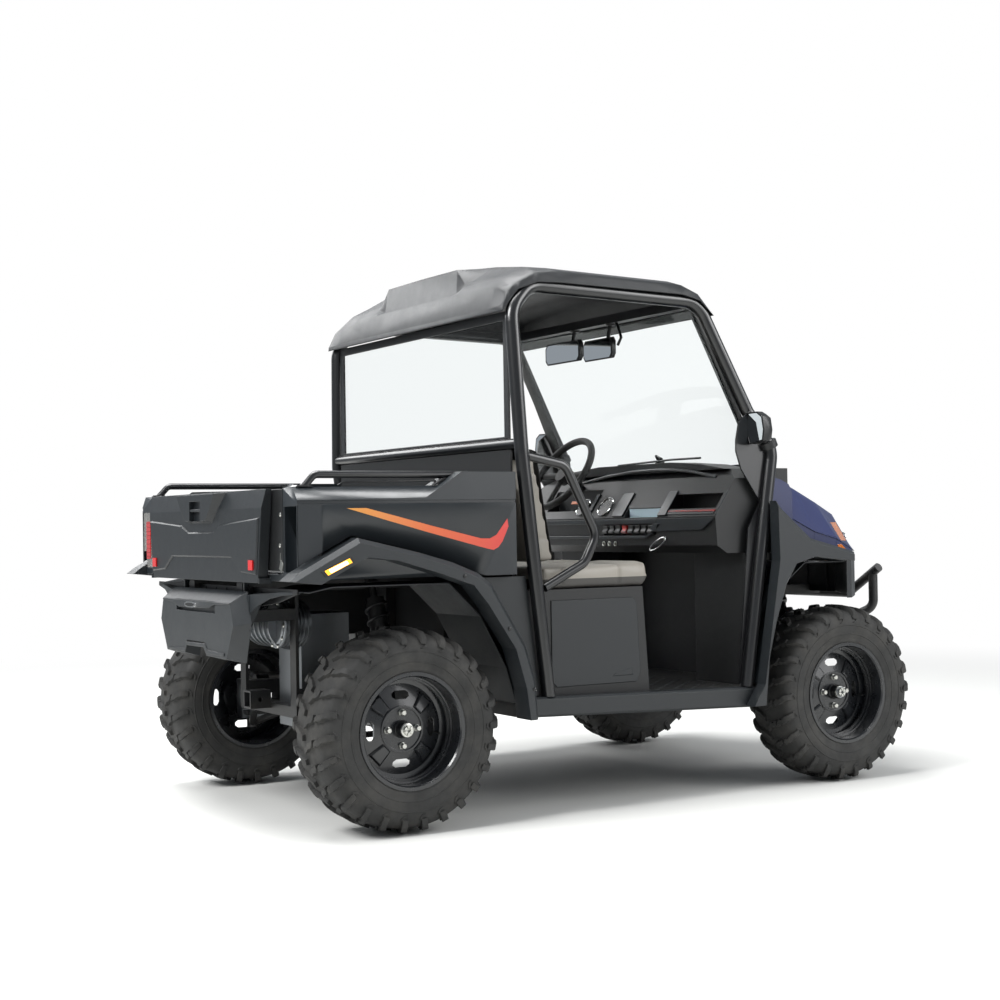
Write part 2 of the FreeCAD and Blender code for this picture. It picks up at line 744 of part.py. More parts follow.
def seat():
    body = new_body("seat_base")
    half = cab_half_width - 5
    x = (rear_x + seat_back_x, rear_x + seat_front_x)
    lean = size("seat_box_lean", 25)
    points = [(x[0], floor_top + seat_gap), (x[1] + lean, floor_top + seat_gap), (x[1], seat_box_top),
              (x[0], seat_box_top)]
    pad(body, "XZ_Plane", [points], -half, half * 2)
    t = seat_box_wall
    hollow = [(x[0] + t, floor_top), (x[1] + lean - t, floor_top), (x[1] - t, seat_box_top - t),
              (x[0] + t, seat_box_top - t)]
    pocket(body, "XZ_Plane", [hollow], t - half, (half - t) * 2, "inside")
    keep("seat_base", body)
    battery = size("battery_half_width", 380)
    keep("battery_pack", box("battery_pack", (x[0] + 60, x[0] + 440), (-battery, battery),
                             (floor_top + seat_gap, floor_top + 250)))
    cushion = new_body("seat_cushion")
    seat_z = seat_box_top + seat_gap
    front = x[1] + 40
    pad(cushion, "XZ_Plane", [[(front - cushion_depth, seat_z), (front - 25, seat_z),
                               (front, seat_z + 30), (front - 12, seat_z + cushion_height),
                               (front - cushion_depth, seat_z + cushion_height - 12)]], -half, half * 2)
    keep("seat_cushion", cushion)
    rest = new_body("seat_backrest")
    low = seat_z + cushion_height - 10
    foot = x[0] + 30
    pad(rest, "XZ_Plane", [[(foot + back_lean, seat_z + cushion_height + seat_gap),
                            (foot + back_lean + back_thick, seat_z + cushion_height + seat_gap),
                            (foot + back_thick - 20, low + back_height),
                            (cab_back_x + panel_wall * 2 + seat_gap, low + back_height),
                            (cab_back_x + panel_wall * 2 + seat_gap, low + back_height - 60)]],
        -(half - 30), (half - 30) * 2)
    keep("seat_backrest", rest)


# Bent guard bar beside each hip
hip_tube = size("hip_tube", 32)
hip_bend = size("hip_bend", 60)


def hip_bars():
    rows = table("hip", "xyz", [("top", 480, 735, 1248), ("corner", 640, 735, 1216), ("elbow", 768, 735, 968),
                                ("heel", 715, 735, 872), ("foot", 545, 735, 790)])
    points = [(rear_x + x, -y, z) for x, y, z in rows]
    hoop = tube_shape(hoop_points(), cage_tube + seat_gap * 2, cage_bend)
    bar = tube_shape(points, hip_tube, hip_bend).cut(hoop)
    right = max(bar.Solids, key=lambda one: one.Volume)
    keep("hip_bars", solid("hip_bars", Part.makeCompound(both_sides(right))))


# Dashboard: one moulded block with an arched cowl and cubby, screen, cluster and switch recesses
dash_side_gap = size("dash_side_gap", 10)
dash_recesses = [("cubby", -660, -330, 1062, 1118, 130), ("screen", -315, -90, 1030, 1068, 45),
                 ("cluster", 170, 520, 1064, 1150, 95), ("switches", -300, 60, 960, 1004, 35)]


def dashboard():
    body = new_body("dashboard")
    lower = outline("dash", front_x, dash_under, [
        ("nose", -198, 321.7), ("under", -198, 0), ("shin", -500, 0), ("knee", -547, 30), ("lip", -555, 142),
        ("brow", -538, 168), ("hood", -448, 295), ("crown", -410, 321.7)])
    half = cab_half_width - dash_side_gap
    pad(body, "XZ_Plane", [lower], -half, half * 2)
    top = lower[0][1]
    low = outline("cowl_side", ground, top, [("foot", 600, 0), ("bend", 450, 23.3), ("crown", 250, 38.3)])
    cowl = [(-y, z) for y, z in low] + list(reversed(low))
    pad(body, "YZ_Plane", [cowl], front_x + size("cowl_back", -440), size("cowl_depth", 132), "cowl")
    ends = outline("dash_end", ground, top, [("in", 600, 1), ("out", 700, 1), ("low", 700, -48)])
    pocket(body, "YZ_Plane", [ends, [(-y, z) for y, z in ends]], front_x + size("dash_end_back", -580),
           size("dash_end_depth", 240), "ends")
    face = front_x + size("dash_face", -565)
    for name, low_y, high_y, low_z, high_z, reach in dash_recesses:
        low_y, high_y, low_z, high_z, reach = [size(f"{name}_{axis}", value) for axis, value in zip(
            ("low_y", "high_y", "low_z", "high_z", "reach"), (low_y, high_y, low_z, high_z, reach))]
        pocket(body, "YZ_Plane", [[(low_y, low_z), (high_y, low_z), (high_y, high_z), (low_y, high_z)]],
               face, reach, f"{name}_recess")
    keep("dashboard", body)


# Bonnet shell and the moulded nose below it
nose_wall = size("nose_wall", 4)
lamp_gap = size("lamp_gap", 0.6)
lamp_rows = [("head_lamps", "head_lamp", 232, 285, 904, 110, 230, 66),
             ("turn_lamps", "turn_lamp", 96, 520, 926, 84, 170, 74)]


def hood():
    axes = ("x", "top_y", "crown", "top_z", "low_y", "low_z")
    rows = table("hood", axes, [("back", -190, 585, 1212, 1182, 688, 1020), ("shoulder", -70, 575, 1192, 1130, 688, 965),
                                ("middle", 48, 560, 1150, 1079, 684, 935), ("brow", 190, 500, 1088, 1032, 610, 895),
                                ("nose", 330, 370, 1005, 962, 480, 880)])
    outer = loft_shape([hood_section(row, 0, 0) for row in rows])
    inner = [hood_section(row, nose_wall, -nose_wall if row is rows[-1] else 0) for row in rows]
    shell = outer.cut(loft_shape(inner))
    lamps = {"head_lamps": [], "turn_lamps": []}
    for label, name, x, y, z, depth, wide, high in lamp_rows:
        x, y, z, depth, wide, high = [size(f"{name}_{axis}", value) for axis, value in zip(
            ("x", "y", "z", "depth", "wide", "high"), (x, y, z, depth, wide, high))]
        block = Part.makeBox(float(depth), float(wide), float(high), vector((front_x + x, -y - wide, z)))
        grown = Part.makeBox(float(depth + lamp_gap * 2), float(wide + lamp_gap * 2), float(high + lamp_gap * 2),
                             vector((front_x + x - lamp_gap, -y - wide - lamp_gap, z - lamp_gap)))
        lamps[label] = both_sides(block.common(outer))
        shell = shell.cut(Part.makeCompound(both_sides(grown)))
    keep("hood", solid("hood", max(shell.Solids, key=lambda one: one.Volume)))
    for label, shapes in lamps.items():
        keep(label, solid(label, Part.makeCompound(shapes)))


def hood_section(row, inset, shift):
    x = front_x + row[0] + shift
    right = [(x, inset - row[4], row[5] - inset * 3), (x, inset - row[1], row[3] - inset)]
    left = [(x, -y, z) for x, y, z in reversed(right)]
    return right + [(x, 0, row[2] - inset)] + left


fascia_wall = size("fascia_wall", 25)
fascia_low = size("fascia_low", 705)
fascia_high = size("fascia_high", 879.7)
grille_half = size("grille_half", 270)
grille_low = size("grille_low", 740)
grille_high = size("grille_high", 835)
grille_face = size("grille_face", 355)
grille_bar = size("grille_bar", 6)
grille_count = 5


def front_fascia():
    body = new_body("front_fascia")
    rows = table("fascia", "xy", [("corner", 62, 745), ("cheek", 215, 600), ("brow", 315, 470), ("chin", 362, 300)])
    right = [(front_x + x, -y) for x, y in rows]
    left = [(x, -y) for x, y in reversed(right)]
    inner = [(x - fascia_wall, y) for x, y in reversed(right + left)]
    pad(body, "XY_Plane", [right + left + inner], fascia_low, fascia_high - fascia_low)
    pocket(body, "YZ_Plane", [rectangle(grille_half, grille_low, grille_high)],
           front_x + size("grille_start", 200), size("grille_depth", 300), "grille_opening")
    chin = outline("fascia_chin", front_x, fascia_low, [("front", 400, -1), ("face", 400, 45), ("edge", 300, -1)])
    pocket(body, "XZ_Plane", [chin], -body_half_width, body_half_width * 2, "chin")
    keep("front_fascia", body)
    rail = (grille_high - grille_low) / grille_count
    bars = []
    for number in range(1, grille_count):
        z = grille_low + rail * number
        bars.append(box(f"grille_bar_{number}", (front_x + grille_face - grille_bar * 3, front_x + grille_face),
                        (seat_gap - grille_half, grille_half - seat_gap), (z - grille_bar / 2, z + grille_bar / 2)))
    bars.append(box("grille_spine", (front_x + grille_face - grille_bar * 3, front_x + grille_face - grille_bar),
                    (-grille_bar, grille_bar), (grille_low + seat_gap, grille_high - seat_gap)))
    keep("grille", fuse("grille", bars))


# Front wings with their flares, lower bodywork beside the bed and the rear flares
fender_outer = size("fender_outer", 795)
fender_bevel = size("fender_bevel", 13)


def front_fenders():
    body = new_body("fender")
    points = outline("fender", front_x, ground, [
        ("top", -345, 1085), ("ridge", -320, 1055), ("corner", -177, 940), ("end", 35, 888),
        ("lip", 35, 850), ("arch_front", -165, 870), ("arch_top", -245, 850), ("arch_back", -300, 770),
        ("arch_mid", -350, 637), ("arch_low", -388, 500), ("foot_front", -408, 322), ("foot_back", -475, 322),
        ("shin", -422, 400), ("knee", -340, 860)])
    inner = body_half_width + seat_gap * 2
    pad(body, "XZ_Plane", [points], inner, fender_outer - inner)
    shelf = size("fender_shelf_inner", 692)
    back = outline("shelf", front_x, ground, [("low", -300, 860), ("top", -300, 1020)])
    pad(body, "XZ_Plane", [points[2:7] + back], shelf, inner - shelf, "shelf")
    soften(body, "Chamfer", outer_sides(points, [0, 1, 2, 6, 7, 8, 9], fender_outer), fender_bevel, "bevel")
    pair("front_fenders", body)


flare_depth = size("flare_depth", 93)
flare_bevel = size("flare_bevel", 16)
flare_inner = flare_half_width - flare_depth


def rear_flares():
    body = new_body("flare")
    points = outline("flare", rear_x, ground, [
        ("tip", -437, 842), ("tip_top", -403, 868), ("peak", -196, 976), ("roll", 24, 925), ("slope", 154, 888),
        ("turn", 249, 850), ("drop", 300, 812), ("fall", 430, 600), ("shin", 468, 478), ("foot", 478, 345),
        ("foot_in", 440, 345), ("shin_in", 425, 455), ("fall_in", 385, 590), ("drop_in", 280, 745),
        ("turn_in", 225, 810), ("slope_in", 90, 856), ("roll_in", -60, 900), ("peak_in", -165, 912),
        ("back_in", -205, 895), ("tip_in", -330, 830)])
    pad(body, "XZ_Plane", [points], flare_inner, flare_depth)
    soften(body, "Chamfer", outer_sides(points, [1, 2, 3, 4, 5, 6, 7, 8], flare_half_width), flare_bevel, "bevel")
    pair("rear_flares", body)


def rear_side_panels():
    body = new_body("side")
    points = outline("side", rear_x, ground, [
        ("seam_back", 286, 832), ("seam_front", 484, 832), ("pillar", 534, 414.6), ("foot", 500, 414.6),
        ("low", 480, 440), ("shin", 466, 478), ("fall", 424, 598), ("drop", 294, 808)])
    thick = size("side_thickness", 11.7)
    pad(body, "XZ_Plane", [points], flare_inner - seat_gap - thick, thick)
    pair("rear_side_panels", body)


# Sheet liners over the four wheels
def wheel_liners():
    rows = {"rear": [("tail", -330, 800), ("crown_back", -250, 815), ("crown", 180, 815), ("back", 300, 700),
                     ("shin", 400, 520), ("foot", 437.7, 395)],
            "front": [("foot", -419.7, 400), ("shin", -375, 600), ("back", -290, 760), ("crown_back", -175, 845),
                      ("crown", 28, 845)]}
    lips = {"rear": (rear_x, size("rear_liner_in", 400), flare_inner - seat_gap),
            "front": (front_x, size("front_liner_in", 386), size("front_liner_out", 744))}
    for name, points in rows.items():
        axle_x, inner, outer = lips[name]
        under = outline(f"{name}_liner", axle_x, ground, points)
        over = [(x, z + panel_wall) for x, z in reversed(under)]
        body = new_body(f"{name}_liner")
        pad(body, "XZ_Plane", [under + over], inner, outer - inner)
        pair(f"{name}_wheel_liners", body)


# Tilting cargo bed
bed_back = size("bed_back_setback", 385)
bed_front = size("bed_front_reach", 428)
bed_wall = size("bed_wall", 4)
bed_inner = size("bed_inner_half", 632)
bed_top = size("bed_top", 1141)
bed_high = size("bed_high", 1192)
bed_floor = size("bed_floor_height", 22)
bed_step = size("bed_side_step", 704)
bed_half_width = size("bed_half_width", 748)
bed_shoulder = size("bed_shoulder", 40)
bed_groove = size("bed_groove_depth", 4)
hinge_lug_in = size("hinge_lug_in", 282)
hinge_lug_wall = size("hinge_lug_wall", 12)
hinge_lug_half = size("hinge_lug_half", 22)
lamp_inner = bed_inner + size("lamp_inset", 8)
lamp_back = rear_x - size("lamp_back", 384)
lamp_front = rear_x - size("lamp_front", 300)
lamp_low = size("lamp_low", 862)
lamp_high = size("lamp_high", 1084)


bed_line = outline("bed_side", rear_x, ground, [
    ("back_top", -385, 1141), ("rise", 143, 1146), ("fin", 216, 1192), ("front_top", 428, 1192),
    ("front_low", 428, 840), ("seam", 302, 840), ("turn", 249, 858), ("slope", 154, 896), ("roll", 24, 933),
    ("peak", -196, 985), ("tail", -385, 887)])


def bed():
    tub = new_body("bed_tub")
    back_x = rear_x - bed_back
    front = rear_x + bed_front
    t = bed_wall
    pad(tub, "XY_Plane", [[(back_x, -bed_inner), (front, -bed_inner), (front, bed_inner), (back_x, bed_inner)]],
        bed_under, bed_top - bed_under)
    pocket(tub, "XY_Plane", [[(back_x - t, t - bed_inner), (front - t * 4, t - bed_inner),
                              (front - t * 4, bed_inner - t), (back_x - t, bed_inner - t)]],
           bed_under + bed_floor, bed_top - bed_under, "load_space")
    lugs = []
    reach = bed_under - hinge_z + hinge_lug_half
    for side in (-1, 1):
        start = hinge_lug_in * side - (hinge_lug_wall if side < 0 else 0)
        plate = Part.makeBox(float(hinge_lug_half * 2), float(hinge_lug_wall), float(reach),
                             vector((hinge_x - hinge_lug_half, start, hinge_z - hinge_lug_half)))
        bore = Part.makeCylinder(float(hinge_pin_radius + running_fit), 4 * float(hinge_lug_wall),
                                 vector((hinge_x, hinge_lug_in * side - hinge_lug_wall * 2, hinge_z)),
                                 Vector(0, 1, 0))
        lugs.append(solid("hinge_lug", plate.cut(bore)))
    keep("bed_tub", fuse("bed_tub_with_lugs", [tub] + lugs + gate_hinges()))
    side_body = new_body("bed_side")
    inner = bed_inner + seat_gap
    pad(side_body, "XZ_Plane", [bed_line[:5] + [(bed_line[0][0], bed_line[4][1])]], inner, bed_step - inner, "core")
    pad(side_body, "XZ_Plane", [bed_line], bed_step, bed_half_width - bed_step, "skin")
    soften(side_body, "Chamfer", outer_sides(bed_line, [0], bed_half_width), bed_shoulder, "shoulder")
    groove = outline("bed_groove", rear_x, ground, [("back_low", -386, 1087), ("front_low", 429, 1087),
                                                    ("front_top", 429, 1097), ("back_top", -386, 1097)])
    pocket(side_body, "XZ_Plane", [groove], bed_half_width - bed_groove, bed_groove * 2, "groove")
    pocket(side_body, "XZ_Plane", [lamp_outline(0)], lamp_inner, bed_half_width, "lamp_recess")
    pair("bed_side_panels", side_body)


# The tail lamp's outline in its recess, drawn in by a gap
def lamp_outline(gap):
    low_x, low_z = lamp_back + gap, lamp_low + gap
    high_x, high_z = lamp_front - gap, lamp_high - gap
    return [(low_x, low_z), (high_x, low_z), (high_x, high_z), (low_x, high_z)]


gate_face = size("gate_face_setback", 425)
gate_thick = size("gate_thickness", 34)
gate_low = size("gate_low", 832)
gate_pin = size("gate_pin_radius", 5)
gate_pin_inset = size("gate_pin_inset", 7)
gate_low_half = size("gate_low_half", 511)
gate_top_half = size("gate_top_half", 557)
gate_pin_end = gate_low_half - size("gate_pin_cover", 21)
gate_plate_in = gate_low_half + size("gate_plate_gap", 9)
gate_plate_wall = size("gate_plate_wall", 8)
gate_ear = size("gate_ear", 9)
gate_pin_tip = size("gate_pin_tip_gap", 5)
gate_bore_length = size("gate_bore_length", 60)
gate_top = bed_top - 1
gate_crease = size("gate_crease", 62)
gate_lean = size("gate_lean", 14)
gate_press = size("gate_press", 6)
gate_press_bevel = size("gate_press_bevel", 4)
pod_height = size("pod_height", 24)
latch_half = size("latch_half", 52)
reflector_y = size("reflector_y", 455)
reflector_wide = size("reflector_wide", 36)
reflector_low = size("reflector_low", 42)
reflector_high = size("reflector_high", 75)
gate_x = rear_x - gate_face + gate_pin_inset
gate_z = gate_low + gate_pin_inset


# Plates behind the tub that carry the drop gate's two pins
def gate_hinges():
    plates = both_boxes("gate_plate", (gate_x - gate_ear, rear_x - bed_back + bed_wall),
                        (gate_plate_in, gate_plate_in + gate_plate_wall), (gate_z - gate_ear, gate_z + gate_ear))
    for name, start in (("right", -gate_plate_in - gate_plate_wall), ("left", gate_pin_end)):
        plates.append(cylinder(f"gate_pin_{name}", gate_pin, gate_plate_in + gate_plate_wall - gate_pin_end,
                               (gate_x, start, gate_z), "Y"))
    return plates


rail_tube = size("bed_rail_tube", 25)
rail_y = size("bed_rail_y", 690)
rail_bend = size("bed_rail_bend", 28)
rail_line = [(rear_x + size(f"bed_rail_{name}_x", x), bed_top + size(f"bed_rail_{name}_rise", z)) for name, x, z in
             [("foot", -358, -20), ("bend", -300, 42), ("end", 270, 42)]]


def bed_rails():
    tube = tube_shape([(x, -rail_y, z) for x, z in rail_line], rail_tube, rail_bend)
    side = [vector((x - seat_gap, -rail_y - rail_tube, z + seat_gap)) for x, z in bed_line[:5]]
    side.append(vector((bed_line[0][0] - seat_gap, -rail_y - rail_tube, bed_line[4][1])))
    panel = Part.Face(Part.makePolygon(side + side[:1])).extrude(vector((0, rail_tube * 2, 0)))
    right = max(tube.cut(panel).Solids, key=lambda one: one.Volume)
    keep("bed_rails", solid("bed_rails", Part.makeCompound(both_sides(right))))


lamp_tuck = size("lamp_tuck", 4)
lamp_wrap_low = size("lamp_wrap_low", 930)


def tail_lamp():
    body = new_body("tail_lamp_body")
    low, low_front, high_front, high = lamp_outline(seat_gap)
    pad(body, "XZ_Plane", [[low, low_front, high_front, high]], -bed_step, bed_step - lamp_inner - seat_gap)
    above = lamp_wrap_low
    pad(body, "XZ_Plane", [[(low[0], above), (low_front[0], above), high_front, high]],
        lamp_tuck - bed_half_width, bed_half_width - lamp_tuck - bed_step, "wrap")
    keep("tail_lamp", body)


# Drop gate hinged at its lower outer edge, with a pressed panel and a raised handle pod
def tailgate():
    body = new_body("tailgate")
    back = rear_x - gate_face
    front = back + gate_thick
    profile = [(back, gate_low), (back, gate_top - gate_crease), (back + gate_lean, gate_top), (front, gate_top),
               (front, gate_low)]
    pad(body, "XZ_Plane", [profile], -gate_top_half, gate_top_half * 2)
    spare = gate_top_half + gate_thick
    flank = [(gate_low_half, gate_low - 1), (spare, gate_low - 1), (spare, gate_top + 1),
             (gate_top_half, gate_top + 1)]
    pocket(body, "YZ_Plane", [flank, [(-y, z) for y, z in flank]], back - 1, gate_thick + 2, "flanks")
    right = outline("gate_panel", ground, gate_low, [
        ("corner", 528, 214), ("ridge", 190, 194), ("step", 120, 169)])
    low = outline("gate_step", ground, gate_low, [("step", 290, 82), ("slant", 372, 34), ("corner", 505, 26)])
    half_panel = right + [(-y, z) for y, z in reversed(right)]
    pad(body, "YZ_Plane", [half_panel + [(-y, z) for y, z in reversed(low)] + low],
        back - gate_press, gate_press + 1, "panel")
    soften(body, "Chamfer", lambda middle, way: abs(middle.x - float(back - gate_press)) < 0.5,
           gate_press_bevel, "panel_bevel")
    pod = doc.addObject("Part::Feature", "handle_pod")
    base = outline("pod_base", ground, gate_top, [("top", 212, -4), ("waist", 166, -62), ("foot", 116, -110)])
    face = outline("pod_face", ground, gate_top, [("top", 186, -6), ("waist", 146, -58), ("foot", 100, -98)])
    pod.Shape = loft_shape([[(x, y, z) for y, z in half + [(-y, z) for y, z in reversed(half)]]
                            for x, half in ((back + gate_lean, base), (back - pod_height, face))])
    latch = box("latch_recess", (back - pod_height - 1, back - gate_press), (-latch_half, latch_half),
                (gate_top - size("latch_low", 100), gate_top - size("latch_high", 30)))
    handle = box("gate_handle", (back - pod_height + 2, back - pod_height + 10), (-latch_half, latch_half),
                 (gate_top - size("handle_low", 66), gate_top - size("handle_high", 58)))
    bores = [cylinder(f"gate_bore_{name}", gate_pin + running_fit, gate_bore_length, (gate_x, start, gate_z), "Y")
             for name, start in (("right", gate_pin_tip - gate_pin_end - gate_bore_length),
                                 ("left", gate_pin_end - gate_pin_tip))]
    whole = fuse("gate_with_pod", [cut("gate_with_latch", fuse("gate_and_pod", [body, pod]), latch), handle])
    keep("tailgate", cut("tailgate", whole, fuse("gate_bores", bores)))
    marks = []
    for name, y in (("right", -reflector_y - reflector_wide), ("left", reflector_y)):
        marks.append(box(f"reflector_{name}", (back - gate_press - size(f"reflector_{name}_proud", 5),
                                               back - gate_press - seat_gap),
                         (y, y + reflector_wide), (gate_low + reflector_low, gate_low + reflector_high)))
    keep("reflectors", fuse("reflectors", marks))


# Bumper moulding across the tail with a notch below and a wing at each end
plate_half = size("plate_recess_half", 190)


def rear_bumper():
    inner = rear_x - bumper_inner
    axes = ("x", "top_y", "top_z", "side_y", "side_z", "low_y", "low_z")
    rows = table("bumper", axes, [("back", 0, 352, 800, 385, 694, 335, 556), ("face", -56, 330, 762, 356, 684, 292, 572)])
    sections = []
    for x, top_y, top_z, side_y, side_z, low_y, low_z in rows:
        right = [(inner + x, -top_y, top_z), (inner + x, -side_y, side_z), (inner + x, -low_y, low_z)]
        sections.append(right + [(x, -y, z) for x, y, z in reversed(right)])
    block = loft_shape(sections)
    notch = [vector((inner - 100, y, z)) for y, z in ((-112, 540), (-88, 618), (88, 618), (112, 540))]
    block = block.cut(Part.Face(Part.makePolygon(notch + notch[:1])).extrude(Vector(200, 0, 0)))
    pan = Part.makeBox(20, 2 * float(plate_half), 40, vector((inner - 62, -plate_half, 722)))
    block = block.cut(pan)
    wing = [vector((inner + x, -374, z)) for x, z in ((-6, 786), (62, 806), (58, 792), (-6, 664))]
    wings = both_sides(Part.Face(Part.makePolygon(wing + wing[:1])).extrude(Vector(0, 8, 0)))
    keep("rear_bumper", solid("rear_bumper", block.multiFuse(wings)))


# Motor across the frame with fins and a disc, on the reduction case
motor_x = size("motor_x", -150)
motor_z = size("motor_z", 665)
motor_half = size("motor_half", 115)
motor_radius = size("motor_radius", 76)
fin_depth = size("fin_depth", 8)
fin_wall = size("fin_wall", 7)
disc_outer = size("disc_outer_radius", 86)
gearcase_back = size("gearcase_back", -90)
gearcase_half = size("gearcase_half", 100)
gearcase_low = size("gearcase_low", 290)
gearcase_high = size("gearcase_high", 700)


def drive_unit():
    y = (-motor_half, motor_half)
    pieces = [cylinder("motor", motor_radius, motor_half * 2, (rear_x + motor_x, y[0], motor_z), "Y")]
    for number in range(5):
        start = y[0] + size(f"fin_{number}_start", 20 + 42 * number)
        pieces.append(cylinder(f"motor_fin_{number}", motor_radius + fin_depth, fin_wall,
                               (rear_x + motor_x, start, motor_z), "Y"))
    pieces.append(cylinder("motor_shaft", fin_wall * 2, size("motor_shaft_length", 40),
                           (rear_x + motor_x, y[0] - size("shaft_reach", 36), motor_z), "Y"))
    pieces.append(cylinder("brake_disc", disc_outer, fin_wall, (rear_x + motor_x, y[0] - size("disc_reach", 30),
                                                               motor_z), "Y"))
    pieces.append(box("gearcase", (rear_x + gearcase_back, rear_x + gearcase_front), (-gearcase_half, gearcase_half),
                      (gearcase_low, gearcase_high)))
    keep("drive_unit", fuse("drive_unit", pieces))


# Double arms, carriers, coil-overs and shafts
shock_foot = 306
arm_tube = size("arm_tube", 28)
boss_radius = size("arm_boss_radius", 20)
king_y = size("kingpin_half", 600)


def arm_shapes(axle_x, spread, inner_z, outer_y, outer_z):
    inner_y = float(rail_out) + float(boss_radius) + float(seat_gap)
    shapes = []
    tip = Vector(float(axle_x), -float(outer_y), float(outer_z))
    for side in (-1, 1):
        foot = Vector(float(axle_x) + side * spread, -inner_y, inner_z)
        shapes.append(Part.makeCylinder(float(boss_radius), 50, foot - Vector(25, 0, 0), Vector(1, 0, 0)))
        way = tip - foot
        shapes.append(Part.makeCylinder(float(arm_tube) / 2, way.Length, foot, way))
    low = inner_z < 400
    shapes.append(Part.makeCylinder(22, 37 if low else 30, tip - Vector(0, 0, 15), Vector(0, 0, 1)))
    if low:
        shapes.append(Part.makeBox(215, 44, 16, Vector(float(axle_x) - 85, -472, shock_foot - 16)))
    return shapes[0].multiFuse(shapes[1:])


def suspension():
    for name, axle_x, outer in (("rear", rear_x, 585), ("front", front_x, 600)):
        low = arm_shapes(axle_x, 120, 352, outer, 240)
        high = arm_shapes(axle_x, 90, 440, outer - 5, 430)
        keep(f"{name}_suspension_arms", solid(f"{name}_arms",
             Part.makeCompound(both_sides(low) + both_sides(high))))
        foot = Vector(float(axle_x) + 110, -450, shock_foot + 16.3)
        top = Vector(float(axle_x) + 110, -float(rail_out) - 16.3, 680 if name == "front" else 814)
        way = top - foot
        unit = way * (1 / way.Length)
        shapes = [Part.makeCylinder(12, way.Length, foot, way),
                  Part.makeCylinder(34, way.Length * 0.62, foot + unit * way.Length * 0.26, way)]
        shapes += [Part.makeCylinder(16, 36, end - Vector(18, 0, 0), Vector(1, 0, 0)) for end in (foot, top)]
        shock = shapes[0].multiFuse(shapes[1:])
        keep(f"{name}_shocks", solid(f"{name}_shocks", Part.makeCompound(both_sides(shock))))


def carriers():
    for name, axle_x, disc_y in (("rear", rear_x, 690), ("front", front_x, 690)):
        inner_face = 575 if name == "rear" else 590
        block = Part.makeBox(90, 635 - inner_face, 152.4, Vector(float(axle_x) - 45, -635, 262.3))
        spindle = Part.makeCylinder(float(hub_bore_radius - running_fit), 130,
                                    Vector(float(axle_x), -610, float(axle_z)), Vector(0, -1, 0))
        right = block.fuse(spindle)
        if name == "rear":
            keep("rear_carriers", solid("rear_carriers", Part.makeCompound(both_sides(right))))
            continue
        steer = Part.makeBox(140, 30, 20, Vector(float(axle_x) - 140, -615, 300))
        right = right.fuse(steer)
        for side, shape in (("right", right), ("left", mirrored(right))):
            keep(f"knuckle_{side}", solid(f"knuckle_{side}", shape))


def half_shafts():
    shaft = Part.makeCylinder(14, 474.4, Vector(float(rear_x), -574.7, float(axle_z)), Vector(0, 1, 0))
    boots = [Part.makeCone(40, 20, 70, Vector(float(rear_x), -100.3, float(axle_z)), Vector(0, -1, 0)),
             Part.makeCone(40, 20, 70, Vector(float(rear_x), -574.7, float(axle_z)), Vector(0, 1, 0))]
    keep("half_shafts", solid("half_shafts", Part.makeCompound(both_sides(shaft.multiFuse(boots)))))


def steering():
    rack = Part.makeCylinder(float(rack_radius), 1200, Vector(float(front_x - rack_setback), -600, float(rack_z)),
                             Vector(0, 1, 0))
    keep("steering_rack", solid("steering_rack", rack))
    wheel_x = front_x + size("wheel_centre_x", -565)
    wheel_y = size("wheel_centre_y", 345)
    wheel_z = size("wheel_centre_z", 1225)
    tilt = math.radians(float(size("wheel_tilt", 35)))
    axis = Vector(math.cos(tilt), 0, -math.sin(tilt))
    centre = vector((wheel_x, wheel_y, wheel_z))
    ring = Part.makeTorus(float(size("wheel_ring_radius", 172)), 15, centre, axis)
    hub = Part.makeCylinder(38, 40, centre - axis * 5, axis)
    spokes = [Part.makeCylinder(11, 160, centre + axis * 12, direction) for direction in
              (Vector(0, 1, 0), Vector(0, -1, 0), Vector(-axis.z, 0, axis.x) * -1)]
    keep("steering_wheel", solid("steering_wheel", ring.multiFuse([hub] + spokes)))
    column = Part.makeCylinder(20, 83, centre + axis * (35 + float(seat_gap)), axis)
    keep("steering_column", solid("steering_column", column))


def bull_bar():
    tube = size("bar_tube", 38)
    x = front_x + front_overhang - tube / 2
    top = [(x, -440, 808), (x, -255, 695), (x, 255, 695), (x, 440, 808)]
    upper = tube_shape(top, tube, 60)
    leg = tube_shape([(x, -405, 785), (x, -405, 640), (front_x + front_frame + tube / 2 + seat_gap, -230, 520), (front_x + front_frame + tube / 2 + seat_gap, -230, 340)], tube, 50)
    keep("bull_bar", solid("bull_bar", upper.multiFuse(both_sides(leg))))


def hitch():
    side = size("hitch_side", 64)
    bore = size("hitch_bore", 51)
    low = size("hitch_low", 398)
    x = (rear_x - 260, rear_x - tail_frame - seat_gap)
    outer = box("receiver_outer", x, (-side / 2, side / 2), (low - side / 2, low + side / 2))
    inner = box("receiver_inner", (x[0] - 1, x[1] + 1), (-bore / 2, bore / 2), (low - bore / 2, low + bore / 2))
    pin = cylinder("hitch_pin_hole", size("hitch_pin_radius", 8), side * 2, (rear_x - 222, -side, low), "Y")
    keep("hitch_receiver", cut("hitch_receiver", outer, fuse("receiver_tools", [inner, pin])))


main_frame()
floor_and_wall()
sills()
cab_cage()
roof_panel()
windscreen()
rear_window()
seat()
hip_bars()
dashboard()
hood()
front_fascia()
front_fenders()
rear_flares()
rear_side_panels()
wheel_liners()
bed()
bed_rails()
tail_lamp()
tailgate()
rear_bumper()
drive_unit()
suspension()
carriers()
half_shafts()
steering()
bull_bar()
hitch()

